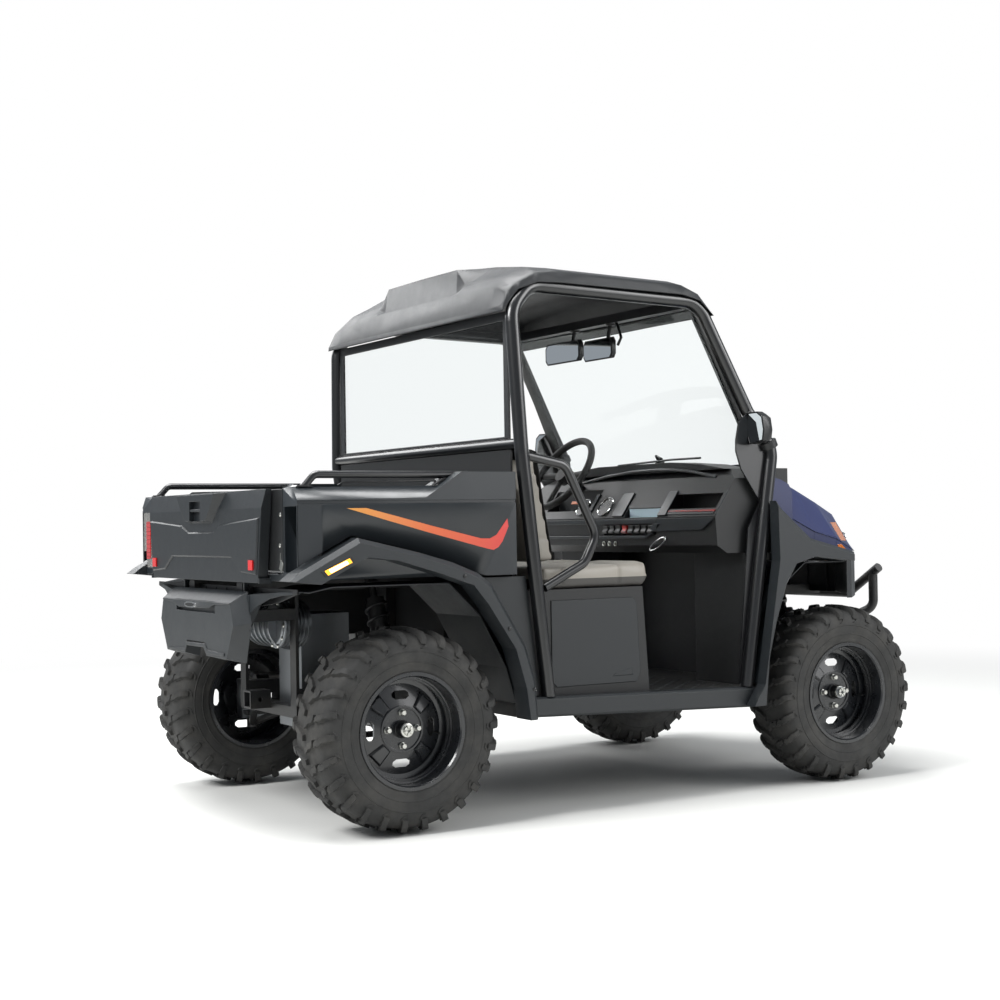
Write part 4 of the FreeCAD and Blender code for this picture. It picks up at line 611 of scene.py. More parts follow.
mirrorLook = {"shell": [(0.704, 1.392), (0.712, 1.420), (0.762, 1.421), (0.792, 1.402), (0.802, 1.350),
                        (0.794, 1.309), (0.745, 1.299), (0.716, 1.302), (0.704, 1.330)],
              "inner": [(-0.5, 0.30), (-0.5, -0.30), (-0.44, -0.5), (0.44, -0.5), (0.5, -0.30), (0.5, 0.30),
                        (0.44, 0.5), (-0.44, 0.5)],
              # y, z, breadth and height of each inner mirror
              "pair": [(0.1245, 1.7165, 0.258, 0.088), (-0.1315, 1.704, 0.203, 0.084)],
              # x and growth of each ring of an outer shell, front last
              "rings": ((1.488, 0.96), (1.486, 1.0), (1.512, 1.0), (1.534, 0.86), (1.544, 0.55)),
              "arm": ((1.552, 0.712, 1.345), (1.546, 0.722, 1.318), (1.530, 0.745, 1.325)),
              "clamp": (1.582, 0.712, 1.30), "drum": [(0.0, -0.014), (0.034, -0.014), (0.034, 0.014),
                                                      (0.0, 0.014)],
              "foot": [(0.0, 0.0), (0.019, 0.0), (0.024, 0.010), (0.0, 0.010)]}


def addMirrors():
    bm, glass = bmesh.new(), bmesh.new()
    plate, shape = mirrorLook["inner"], mirrorLook["shell"]
    for y, z, wide, high in mirrorLook["pair"]:
        addPrism(bm, [at(1.200, y + a * wide, z + b * high) for a, b in plate], (0.020, 0, 0.003))
        addPrism(bm, [at(1.220, y + a * wide * 0.8, z + 0.003 + b * high * 0.75) for a, b in plate],
                 (0.012, 0, 0.002))
        addPrism(glass, [at(1.1985, y + a * wide * 0.93, z + b * high * 0.86) for a, b in plate],
                 (0.0016, 0, 0))
        addTube(bm, [at(1.228, y, z + 0.004), at(1.246, y - 0.01, z + 0.045), at(1.252, y - 0.02, 1.812)],
                0.008, 12)
        addLathe(bm, at(1.252, y - 0.02, 1.80), (0, 0, 1), mirrorLook["foot"], 20)
    brace = ((1.226, -0.236, 1.712), (1.232, -0.252, 1.742), (1.246, -0.214, 1.786), (1.252, -0.19, 1.812))
    addTube(bm, [at(*p) for p in brace], 0.006, 10)
    for side in (-1, 1):
        loft(bm, [[bm.verts.new(at(x, side * y, z)) for y, z in grown(shape, growth)]
                  for x, growth in mirrorLook["rings"]])
        addPrism(glass, [at(1.4872, side * y, z) for y, z in grown(shape, 0.88, 0.9)], (-0.0012, 0, 0))
        addTube(bm, [at(x, side * y, z) for x, y, z in mirrorLook["arm"]], 0.009, 12)
        x, y, z = mirrorLook["clamp"]
        addLathe(bm, at(x, side * y, z), (0.4, 0, -0.9), mirrorLook["drum"], 24)
    finishPiece(bm, "mirror_shells", extra["black_satin"], "chassis", bevel=0.0015, smooth=45)
    finishPiece(glass, "mirror_glasses", extra["mirror"], "chassis")


addMirrors()
# x, half width, bow and z at the foot and the top of the windscreen
sealLook = {"base": (frontAxle - 0.328, 0.668, 0.128, 1.212), "top": (frontAxle - 0.612, 0.632, 0.030, 1.805),
            "rows": 12,
            # share of the half width where the side bands start, and heights of the cross bands
            "inner": 0.962, "bands": ((-0.012, 0.036), (0.955, 1.006)), "lift": 0.0015, "over": 0.027}


def onScreen(share, height, lift):  # a point of the windscreen, share of half width and of height
    (x1, half1, bow1, z1), (x2, half2, bow2, z2) = sealLook["base"], sealLook["top"]
    x, half, bow, z = (a + (b - a) * height for a, b in ((x1, x2), (half1, half2), (bow1, bow2), (z1, z2)))
    return Vector((x + bow * (1 - share * share) + lift, half * share, z + lift * 0.3))


def addSeals():  # black bands round the windscreen, as gaskets and painted border
    bm = bmesh.new()
    lift = sealLook["lift"]
    for side in (-1, 1):
        for low, high in ((0.0, 0.5), (0.5, 1.0)):
            inner = [onScreen(side * sealLook["inner"], h, lift) for h in (low, high)]
            over = Vector((-0.008, side * sealLook["over"], 0))
            outer = [onScreen(side, h, lift) + over for h in (low, high)]
            addPrism(bm, [inner[0], outer[0], outer[1], inner[1]], (0.006, 0, 0.002))
    count = sealLook["rows"]
    for n in range(count):
        a, b = -1 + 2 * n / count, -1 + 2 * (n + 1) / count
        for low, high in sealLook["bands"]:
            addPrism(bm, [onScreen(share, h, 0.001)
                          for share, h in ((a, low), (b, low), (b, high), (a, high))], (0.004, 0, 0.001))
    finishPiece(bm, "screen_gaskets", extra["black_satin"], "chassis")


addSeals()
dashLook = {"foot": (1.362, 1.058), "rise": 90 / 127, "apron": 1.3448, "proud": 0.0045,
            # y and z of the moulded bands across the apron
            "bands": (((0.62, 0.946), (-0.241, 0.946), (-0.250, 0.958), (0.62, 0.958)),
                      ((0.62, 1.006), (-0.320, 1.006), (-0.320, 1.026), (0.62, 1.026)),
                      ((-0.241, 0.946), (-0.302, 0.974), (-0.345, 1.006), (-0.292, 1.006), (-0.250, 0.958)),
                      ((-0.302, 0.974), (-0.605, 0.979), (-0.672, 1.020), (-0.672, 1.026), (-0.320, 1.026),
                       (-0.320, 1.006))),
            # y from, y to, z from, z to of the upright bars on the sloping face
            "bars": ((-0.004, -0.08, 1.035, 1.13), (-0.318, -0.372, 1.035, 1.13),
                     (-0.680, -0.689, 1.035, 1.125), (0.165, 0.19, 1.035, 1.13)),
            "screen": ((-0.093, 1.0315), (-0.312, 1.0315), (-0.312, 1.0665), (-0.093, 1.0665)),
            # y, z and radius
            "gauges": ((0.078, 1.077, 0.046), (0.245, 1.077, 0.042)), "ticks": 9,
            # x and z of a key's outline
            "key": ((1.372, 0.963), (1.339, 0.968), (1.3345, 0.975), (1.344, 0.986), (1.341, 1.0),
                    (1.372, 1.003)),
            "keys": 8, "redKey": 3, "firstKey": 0.056, "keyPitch": 0.0445, "keyWide": 0.033,
            "sockets": (0.064, 0.024, -0.019), "socket": (1.3528, 0.926),
            "handle": (1.334, -0.331, 0.9255),
            "brow": ((1.446, 0.42, 1.172), (1.452, 0.36, 1.184), (1.457, 0.18, 1.208), (1.458, 0.0, 1.2205),
                     (1.458, -0.16, 1.2235), (1.457, -0.28, 1.219), (1.456, -0.39, 1.209),
                     (1.452, -0.54, 1.186), (1.449, -0.56, 1.18))}


def onDash(y, z, out=0.0):  # a point on the sloping dash face, lifted by out
    slope = dashLook["rise"]
    long = math.hypot(1, slope)
    return at(dashLook["foot"][0] + (z - dashLook["foot"][1]) * slope - out / long, y, z + out * slope / long)


def dashOut(depth):
    slope = dashLook["rise"]
    return Vector((-1, 0, slope)).normalized() * depth


def dashQuad(bm, y1, y2, z1, z2, start, depth):
    addPrism(bm, [onDash(y, z, start) for y, z in ((y1, z1), (y2, z1), (y2, z2), (y1, z2))], dashOut(depth))


def addDashStrip(name, material, rows, start, depth, bevel=0.0006):
    bm = bmesh.new()
    dashQuad(bm, *rows, start, depth)
    finishPiece(bm, name, material, "chassis", bevel=bevel)


def addGauges():
    ring, dial, hand = bmesh.new(), bmesh.new(), bmesh.new()
    for y, z, r in dashLook["gauges"]:
        centre = onDash(y, z)
        way = dashOut(1.0)
        inner = r - 0.0035
        addLathe(ring, centre, way, [(r, -0.004), (r, 0.006), (r - 0.002, 0.0075), (inner, 0.006),
                                     (inner, -0.004)],
                 40)
        addLathe(dial, centre, way, [(0.0, -0.002), (inner, -0.002), (inner, 0.003), (0.0, 0.003)], 40)
        tip = centre + dashOut(0.0035)
        up = Vector((dashLook["rise"], 0, 1)).normalized()
        addTube(hand, [tip, tip + up * (r * 0.45) + Vector((0, -r * 0.4, 0))], 0.0009, 6)
        for n in range(dashLook["ticks"]):
            a = math.radians(210 - n * 30)
            spoke = Vector((0, -1, 0)) * math.cos(a) + up * math.sin(a)
            addTube(hand, [tip + spoke * (r - 0.014), tip + spoke * (r - 0.008)], 0.0008, 6)
    finishPiece(ring, "gauge_rings", extra["chrome"], "chassis", smooth=40)
    finishPiece(dial, "gauge_faces", extra["black_glass"], "chassis")
    finishPiece(hand, "gauge_marks", extra["dial"], "chassis")


def addKeys():
    keys, red = bmesh.new(), bmesh.new()
    for n in range(dashLook["keys"]):
        y = dashLook["firstKey"] - n * dashLook["keyPitch"]
        addPrism(red if n == dashLook["redKey"] else keys, [at(x, y, z) for x, z in dashLook["key"]],
                 (0, -dashLook["keyWide"], 0))
    finishPiece(keys, "rocker_keys", extra["black_satin"], "chassis", bevel=0.0014)
    finishPiece(red, "rocker_key_red", extra["dark_red"], "chassis", bevel=0.0014)
    rim, core = bmesh.new(), bmesh.new()
    for y in dashLook["sockets"]:
        place = at(dashLook["socket"][0], y, dashLook["socket"][1])
        addLathe(rim, place, (-1, 0, 0), [(0.010, -0.002), (0.010, 0.004), (0.007, 0.005), (0.006, 0.004),
                                          (0.006, -0.002)], 24)
        addLathe(core, place, (-1, 0, 0), [(0.0, -0.002), (0.006, -0.002), (0.006, 0.002), (0.0, 0.002)], 20)
    finishPiece(rim, "socket_rims", extra["zinc"], "chassis")
    finishPiece(core, "socket_cores", extra["black_satin"], "chassis")


def addDash():
    bm = bmesh.new()
    for rows in dashLook["bands"]:
        flatPanel(bm, dashLook["apron"], rows, dashLook["proud"])
    for rows in dashLook["bars"]:
        dashQuad(bm, *rows, 0.0, 0.006)
    finishPiece(bm, "dash_apron", look["slate_body"], "chassis", bevel=0.0012)
    bm = bmesh.new()
    flatPanel(bm, 1.374, dashLook["screen"], 0.002)
    finishPiece(bm, "dash_screen", extra["pale_screen"], "chassis")
    addDashStrip("dash_strip_red", extra["dark_red"], (-0.375, -0.664, 1.0485, 1.0545), 0.0,
                 0.0035)
    addDashStrip("cubby_sill", look["grained_plastic"], (-0.375, -0.664, 1.0385, 1.0475),
                 0.0, 0.003)
    addDashStrip("dash_strip_orange", extra["orange"], (0.36, 0.288, 1.095, 1.106), -0.002,
                 0.004, bevel=0.0)
    addGauges()
    addKeys()
    bm = bmesh.new()
    long, wide = Vector((0, -0.0505, 0.0225)), Vector((0, 0.0055, 0.0125))
    turns = [2 * math.pi * n / 24 for n in range(24)]
    loop = [at(*dashLook["handle"]) + long * math.cos(a) + wide * math.sin(a) for a in turns]
    addTube(bm, loop, 0.0035, 10, closed=True)
    addTube(bm, [at(1.352, -0.37, 0.944), at(1.334, -0.378, 0.946)], 0.005, 10)
    finishPiece(bm, "park_handle", extra["chrome"], "chassis", smooth=60)
    bm = bmesh.new()
    addTube(bm, [at(*p) for p in dashLook["brow"]], 0.007, 10)
    finishPiece(bm, "dash_brow", look["slate_body"], "chassis", smooth=60)


addDash()
print("dash")


cabLook = {"blade": ((1.640, 0.36, 1.262), (1.640, 0.20, 1.266), (1.640, -0.02, 1.272),
                     (1.640, -0.22, 1.271)),
           "arm": ((1.70, 0.13, 1.226), (1.672, 0.10, 1.262), (1.646, 0.09, 1.292), (1.644, 0.05, 1.277)),
           "pivot": (1.672, 0.10, 1.262), "cap": [(0.0, -0.01), (0.018, -0.01), (0.016, 0.016), (0.0, 0.02)],
           # a lap strap from its reel over the backrest's edge to the seat
           "strap": ((0.492, 0.655, 1.272), (0.545, 0.64, 1.268), (0.575, 0.625, 1.262), (0.615, 0.60, 1.10),
                     (0.66, 0.585, 0.905), (0.675, 0.60, 0.884)), "strapHalf": 0.023, "strapRise": 0.004,
           "pedals": (0.43, 0.27), "pedalHalf": 0.035,
           "lever": ((1.22, 0.02, 0.392), (1.215, 0.02, 0.62), (1.20, 0.02, 0.80)),
           "knob": [(0.0, 0.0), (0.014, 0.0), (0.021, 0.018), (0.018, 0.04), (0.0, 0.048)]}


def addStraps():
    bm = bmesh.new()
    half, rise = cabLook["strapHalf"], cabLook["strapRise"]
    for side in (-1, 1):
        for (x1, y1, z1), (x2, y2, z2) in zip(cabLook["strap"], cabLook["strap"][1:]):
            corners = ((x1, y1 - half, z1), (x1, y1 + half, z1), (x2, y2 + half, z2), (x2, y2 - half, z2))
            addPrism(bm, [at(x, side * y, z + rise) for x, y, z in corners], (0.0016, 0, 0.0008))
    finishPiece(bm, "lap_straps", extra["webbing"], "chassis")
    bm = bmesh.new()
    for side in (-1, 1):
        addBox(bm, at(0.474, side * 0.655 - 0.03, 1.235), at(0.512, side * 0.655 + 0.03, 1.30))
        addBox(bm, at(0.66, side * 0.60 - 0.02, 0.882), at(0.70, side * 0.60 + 0.02, 0.912))
    finishPiece(bm, "strap_reels", extra["black_satin"], "chassis", bevel=0.003)


def addCabTrim():
    bm = bmesh.new()
    addTube(bm, [at(*p) for p in cabLook["blade"]], 0.0045, 8)
    addTube(bm, [at(*p) for p in cabLook["arm"]], 0.0065, 8)
    addLathe(bm, at(*cabLook["pivot"]), (0.55, 0, 0.83), cabLook["cap"], 20)
    finishPiece(bm, "wiper", extra["black_satin"], "chassis")
    addStraps()
    bm = bmesh.new()
    half = cabLook["pedalHalf"]
    for y in cabLook["pedals"]:
        addPrism(bm, [at(1.405, y - half, 0.52), at(1.405, y + half, 0.52), at(1.42, y + half, 0.60),
                      at(1.42, y - half, 0.60)], (0.008, 0, -0.002))
        addTube(bm, [at(1.418, y, 0.57), at(1.455, y, 0.66), at(1.472, y, 0.76)], 0.008, 8)
    finishPiece(bm, "pedals", extra["black_satin"], "chassis", bevel=0.001)
    bm = bmesh.new()
    addTube(bm, [at(*p) for p in cabLook["lever"]], 0.009, 10)
    addLathe(bm, at(*cabLook["lever"][-1]), (-0.08, 0, 1), cabLook["knob"], 20)
    finishPiece(bm, "drive_lever", extra["black_satin"], "chassis")


addCabTrim()
floorLook = {"studs": (9, 17), "studFrom": (1.075, -0.64), "studPitch": (0.045, 0.08),
             "studHalf": (0.013, 0.005), "top": 0.3888, "limit": 0.67,
             # x and z of the pressed panel on each side of the seat box, and of its latch
             "panel": [(0.602, 0.742), (0.955, 0.742), (0.972, 0.722), (0.984, 0.468), (0.966, 0.436),
                       (0.622, 0.436), (0.602, 0.458)],
             "latch": ((0.86, 0.462), (0.95, 0.462), (0.945, 0.488), (0.875, 0.474)), "panelFace": 0.6848,
             "front": ((-0.62, 0.44), (0.62, 0.44), (0.62, 0.74), (-0.62, 0.74)),
             "ribs": 15, "ribFrom": -0.56, "ribPitch": 0.08, "ribFoot": (0.014, 0.8598),
             "ribTop": (0.009, 0.867), "bed": (-0.37, 0.76)}


def addFloor():  # studs on the cab floor, panels of the seat box, ribs on the bed floor
    bm = bmesh.new()
    (x0, y0), (stepX, stepY), (long, wide) = (floorLook[key] for key in ("studFrom", "studPitch", "studHalf"))
    top = floorLook["top"]
    for n in range(floorLook["studs"][0]):
        for m in range(floorLook["studs"][1]):
            x, y = x0 + n * stepX, y0 + m * stepY + (stepY / 2 if n % 2 else 0)
            if abs(y) <= floorLook["limit"]:
                addPrism(bm, [at(x - long, y, top), at(x, y - wide, top), at(x + long, y, top),
                              at(x, y + wide, top)],
                         (0, 0, 0.002))
    finishPiece(bm, "floor_studs", extra["checker"], "chassis")
    bm = bmesh.new()
    for side in (-1, 1):
        for rows, thick in ((floorLook["panel"], 0.0034), (floorLook["latch"], 0.0052)):
            addPrism(bm, [at(x, side * floorLook["panelFace"], z) for x, z in rows], (0, side * thick, 0))
    addPrism(bm, [at(1.0222 - (z - 0.43) * 0.0637, y, z) for y, z in floorLook["front"]], (0.003, 0, 0))
    finishPiece(bm, "seat_box_panels", look["side_plastic"], "chassis", bevel=0.0016)
    bm = bmesh.new()
    start, length = floorLook["bed"]
    (foot, low), (crest, high) = floorLook["ribFoot"], floorLook["ribTop"]
    for n in range(floorLook["ribs"]):
        y = floorLook["ribFrom"] + n * floorLook["ribPitch"]
        addPrism(bm, [at(start, y - foot, low), at(start, y + foot, low), at(start, y + crest, high),
                      at(start, y - crest, high)], (length, 0, 0))
    finishPiece(bm, "bed_floor_ribs", look["tub_plastic"], "bed", bevel=0.001)


addFloor()
print("cab trim")


softLook = {"hood": 48, "roof_panel": 27}  # degrees past which an edge stays sharp


def softenNodes():  # same form with its facets shaded as one curved sheet
    for name, angle in softLook.items():
        bm = bmesh.new()
        bm.from_mesh(nodes[name].data)
        bmesh.ops.remove_doubles(bm, verts=bm.verts, dist=1e-5)
        bmesh.ops.dissolve_limit(bm, angle_limit=math.radians(0.5), verts=bm.verts, edges=bm.edges)
        item = finishPiece(bm, name + "_sheet", look[slotOf[name]], "chassis", smooth=angle)
        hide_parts(name)


softenNodes()
tailLook = {"cut": (0.636, 0.738, 0.868, 1.080),  # y from, y to, z from, z to of the lamp recess
            "side": [(-0.385, 0.8875), (-0.385, 1.086), (-0.298, 1.086), (-0.298, 0.932)],
            # y, x of the back edge, bottom, top, depth of the turned rim
            "wing": [(0.262, -0.405, 0.676, 0.768, 0.006), (0.30, -0.404, 0.690, 0.779, 0.006),
                     (0.36, -0.400, 0.718, 0.788, 0.012), (0.43, -0.392, 0.755, 0.794, 0.026),
                     (0.50, -0.380, 0.778, 0.798, 0.036), (0.57, -0.365, 0.790, 0.802, 0.042),
                     (0.66, -0.345, 0.796, 0.804, 0.045)],
            "post": [(0.505, 0.872), (0.6315, 0.872), (0.6315, 1.138), (0.545, 1.138)],
            "brow": [(0.329, 0.7615), (-0.329, 0.7615), (-0.331, 0.756), (-0.181, 0.750), (-0.132, 0.737),
                     (0.161, 0.733), (0.228, 0.750), (0.331, 0.754)],
            "ledge": [(0.276, 0.576), (0.268, 0.584), (0.104, 0.589), (0.09, 0.611), (-0.093, 0.614),
                      (-0.113, 0.594), (-0.276, 0.590), (-0.274, 0.578), (-0.105, 0.579), (-0.082, 0.600),
                      (0.08, 0.599), (0.098, 0.576)],
            "lining": (-0.3045, (0.6405, 0.868), (0.7435, 0.91), (0.7435, 1.082), (0.6405, 1.082)),
            "fins": (0.668, 0.690, 0.712),
            "tag": ((-0.600, 0.880), (-0.618, 0.868), (-0.632, 0.896), (-0.614, 0.908)),
            "lines": 9, "lineFrom": 0.908, "linePitch": 0.0164,
            "plateLamp": (-0.4515, 0.0385, 0.7455),
            # outline of the splash guard, and the z range of its ribs
            "guard": ((-0.66, 0.812), (-0.66, 0.796), (-0.52, 0.766), (-0.30, 0.740), (-0.255, 0.655),
                      (0.255, 0.655), (0.30, 0.740), (0.52, 0.766), (0.66, 0.796), (0.66, 0.812)),
            "guardRibs": (0.665, 0.805),
            # shadeSheet: black sheet across the bay at y 0.196, painted shade that darkens the lit inner
            # faces of the bay
            "shadeSheet": ((-0.32, 0.66), (-0.32, 0.828), (0.34, 0.828), (0.34, 0.60), (-0.2, 0.60))}


def openRecess():  # the side skins with the lamp recess open to the back
    bm = bmesh.new()
    bm.from_mesh(nodes["bed_side_panels"].data)
    bmesh.ops.remove_doubles(bm, verts=bm.verts, dist=1e-5)
    item = placed("bed_skins_raw", plainMesh(bm, "bed_skins"))
    bm = bmesh.new()
    low, high, under, over = tailLook["cut"]
    for side in (-1, 1):
        y1, y2 = sorted((side * low, side * high))
        addBox(bm, at(-0.3862, y1, under), at(-0.3828, y2, over))
    cutter = placed("recess_cutter", plainMesh(bm, "recess_cutter"))
    modifier = item.modifiers.new("cut", "BOOLEAN")
    modifier.operation = "DIFFERENCE"
    modifier.solver = "EXACT"
    modifier.object = cutter
    result = evaluated(item)
    bpy.data.objects.remove(cutter)
    bpy.data.objects.remove(item)
    bm = bmesh.new()
    bm.from_mesh(result)
    for side in (-1, 1):
        addPrism(bm, [at(x, side * 0.7442, z) for x, z in tailLook["side"]], (0, side * 0.0036, 0))
    skins = finishPiece(bm, "bed_skins", look["slate_body"], "bed", smooth=30)
    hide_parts("bed_side_panels")


def addRecess():
    bm = bmesh.new()
    back, *lining = tailLook["lining"]
    for side in (-1, 1):
        addPrism(bm, [at(back, side * y, z) for y, z in lining], (0.004, 0, 0))
        for y in tailLook["fins"]:
            addBox(bm, at(-0.322, side * y - 0.0035, 0.90), at(back, side * y + 0.0035, 1.08))
        addPrism(bm, [at(-0.3862, side * y, z) for y, z in tailLook["post"]], (0.0022, 0, 0))
    finishPiece(bm, "recess_linings", extra["black_satin"], "bed", bevel=0.001)
    points = [at(-0.3847, -0.612, 1.055), at(-0.3847, -0.606, 0.955)]
    scatterPieces("recess_bolts", domeHead, points, (-1, 0, 0), extra["zinc"], "bed")
    bm = bmesh.new()
    addPrism(bm, [at(-0.3875, y, z) for y, z in tailLook["tag"]], (0.0015, 0, 0))
    addTube(bm, [at(-0.386, -0.607, 0.905), at(-0.386, -0.611, 0.93)], 0.0008, 6)
    finishPiece(bm, "recess_tag", extra["zinc"], "bed")
    bm = bmesh.new()
    addBox(bm, at(-0.3868, 0.655, 0.90), at(-0.3838, 0.700, 1.045))
    finishPiece(bm, "tail_lamp_strip", extra["red_lens"], "bed", bevel=0.0006)
    bm = bmesh.new()
    for k in range(tailLook["lines"]):
        z = tailLook["lineFrom"] + k * tailLook["linePitch"]
        addBox(bm, at(-0.3876, 0.659, z), at(-0.3866, 0.696, z + 0.0022))
    finishPiece(bm, "tail_lamp_lines", extra["dark_red"], "bed")


def addGate():
    bm = bmesh.new()
    addTube(bm, [at(-0.440, -0.046, 1.0785), at(-0.440, 0.046, 1.0785)], 0.0055, 12)
    finishPiece(bm, "gate_grip", extra["black_satin"], "tailgate", smooth=60)


def roundedRing(place, wide, high, powers, count):  # flattened ring of points facing the rear
    x, y, z = place
    ring = []
    for n in range(count):
        c, s = math.cos(2 * math.pi * n / count), math.sin(2 * math.pi * n / count)
        ring.append(at(x, y + wide * math.copysign(abs(c) ** powers[0], c),
                       z + high * math.copysign(abs(s) ** powers[1], s)))
    return ring


def addBumperTrim():
    x, y, z = tailLook["plateLamp"]
    bm = bmesh.new()
    addPrism(bm, roundedRing((x, y, z), 0.0545, 0.0105, (0.6, 0.7), 28), (-0.006, 0, 0))
    finishPiece(bm, "plate_lamp", extra["chrome"], "chassis", bevel=0.0015)
    bm = bmesh.new()
    addPrism(bm, roundedRing((x - 0.0056, y, z), 0.044, 0.0065, (1, 1), 24), (-0.0012, 0, 0))
    finishPiece(bm, "plate_lamp_lens", extra["black_glass"], "chassis")
    bm = bmesh.new()
    for side in (-1, 1):
        rings = []
        for y, x, low, high, rim in tailLook["wing"]:
            outline = ((0.0, low), (0.0, high), (rim, high + 0.002), (rim, high - 0.002),
                       (0.004, high - 0.004), (0.004, low))
            rings.append([bm.verts.new(at(x + d, side * y, z)) for d, z in outline])
        loft(bm, rings)
    finishPiece(bm, "tail_wings", look["grained_plastic"], "chassis", smooth=50)
    bm = bmesh.new()
    flatPanel(bm, -0.348, tailLook["guard"], 0.004)
    low, high = tailLook["guardRibs"]
    for n in range(6):
        y = -0.25 + n * 0.1
        addBox(bm, at(-0.3545, y - 0.006, low), at(-0.3515, y + 0.006, high))
    # black sheet standing in the bay behind the guard: painted shade, added to darken the lit inner faces
    addPrism(bm, [at(x, 0.196, z) for x, z in tailLook["shadeSheet"]], (0, 0.003, 0))
    finishPiece(bm, "splash_guard", extra["black_satin"], "chassis", bevel=0.0008)
    bm = bmesh.new()
    for rows, proud in ((tailLook["brow"], 0.0026), (tailLook["ledge"], 0.0034)):
        flatPanel(bm, -0.4508, rows, proud)
    finishPiece(bm, "bumper_forms", look["grained_plastic"], "chassis", bevel=0.0014)


motorLook = {"centre": (-0.207, -0.128, 0.671), "fins": 6, "finFrom": 0.026, "finPitch": 0.0145,
             "finThick": 0.005,
             # radius, distance along the motor's axis
             "flange": [(0.0, 0.0), (0.070, 0.0), (0.074, 0.004), (0.084, 0.004), (0.0865, 0.007),
                        (0.0865, 0.016), (0.080, 0.018), (0.0, 0.018)],
             "drum": [(0.0, 0.018), (0.073, 0.018), (0.073, 0.115), (0.0, 0.115)], "bolts": 10,
             "boltRing": 0.079}


def addMotorCover():
    bm = bmesh.new()
    centre = at(*motorLook["centre"])
    addLathe(bm, centre, (1, 0, 0), motorLook["flange"], 64)
    for n in range(motorLook["fins"]):
        x = motorLook["finFrom"] + n * motorLook["finPitch"]
        end = x + motorLook["finThick"]
        addLathe(bm, centre, (1, 0, 0), [(0.060, x), (0.0815, x), (0.0815, end), (0.060, end)], 48)
    addLathe(bm, centre, (1, 0, 0), motorLook["drum"], 48)
    finishPiece(bm, "motor_cover", look["cast_alloy"], "chassis", bevel=0.0008, smooth=40)
    reach, count = motorLook["boltRing"], motorLook["bolts"]
    points = [centre + Vector((0.0042, reach * math.cos(a), reach * math.sin(a)))
              for a in (2 * math.pi * n / count for n in range(count))]
    scatterPieces("motor_bolts", domeHead, points, (-1, 0, 0), extra["zinc"], "chassis")


openRecess()
addRecess()
addGate()
addBumperTrim()
addMotorCover()


# x of the axle and z of the upper mount; the coil fills this share of the shock's length
springLook = {"axles": ((rearAxle, 0.814), (frontAxle, 0.680)), "turns": 7, "steps": 16, "start": 0.27,
              "share": 0.60, "radius": 0.0375, "wire": 0.0055}


def addSprings():
    bm = bmesh.new()
    steps = springLook["steps"]
    count = springLook["turns"] * steps
    for axle, top in springLook["axles"]:
        for side in (-1, 1):
            foot = Vector((axle + 0.11, side * 0.45, 0.3223))
            head = Vector((axle + 0.11, side * 0.2713, top))
            way = (head - foot).normalized()
            across = way.cross(Vector((1, 0, 0))).normalized()
            other = way.cross(across)
            length = (head - foot).length
            path = []
            for n in range(count + 1):
                a = 2 * math.pi * n / steps
                along = length * (springLook["start"] + springLook["share"] * n / count)
                turned = across * math.cos(a) + other * math.sin(a)
                path.append(foot + way * along + turned * springLook["radius"])
            addTube(bm, path, springLook["wire"], 8)
    finishPiece(bm, "coil_springs", extra["black_satin"], "chassis", smooth=60)


addSprings()
print("tail and springs")


# x and z of the second rail and of the two feet under each hand rail
railLook = {"rail": ((-0.215, 1.147), (-0.20, 1.157), (0.14, 1.1635), (0.157, 1.158)), "y": 0.69,
            "footFrom": 0.668, "feet": (((0.118, 1.1465), (0.133, 1.1465), (0.178, 1.1695), (0.172, 1.1715),
                                         (0.160, 1.1705)),
                     ((-0.375, 1.1425), (-0.315, 1.1430), (-0.322, 1.149), (-0.368, 1.1485))),
            "footWide": 0.044}


def addRails():  # second rails and feet of the bed's hand rails
    bm = bmesh.new()
    for side in (-1, 1):
        addTube(bm, [at(x, side * railLook["y"], z) for x, z in railLook["rail"]], 0.004, 10)
        for rows in railLook["feet"]:
            addPrism(bm, [at(x, side * railLook["footFrom"], z) for x, z in rows],
                     (0, side * railLook["footWide"], 0))
    finishPiece(bm, "rail_feet", look["cage_steel"], "bed", bevel=0.001)


addRails()


noseLook = {"cheek": [(-0.342, 1.003), (-0.342, 1.190), (-0.306, 1.183), (-0.246, 1.168), (-0.205, 1.150),
                      (-0.188, 1.120), (-0.188, 1.014), (-0.27, 0.998)],
            # x, half width, top and bottom of the skirt under the hood's edge
            "skirt": [(-0.19, 0.684, 1.026, 0.952), (-0.07, 0.684, 0.972, 0.900),
                      (0.048, 0.680, 0.942, 0.883), (0.19, 0.606, 0.902, 0.8815),
                      (0.322, 0.478, 0.888, 0.8815)],
            "back": ((-0.41, 0.712), (0.41, 0.712), (0.41, 0.872), (-0.41, 0.872)),
            "bars": (24, -0.2576, 0.0224), "wires": (8, 0.745, 0.0122),  # count, start and pitch of the net
            "lamps": ((0.345, 0.026), (0.405, 0.022)),  # y and radius
            "marker": ((1.889, 0.913), (1.911, 0.915), (1.942, 0.888), (1.932, 0.877), (1.908, 0.880))}


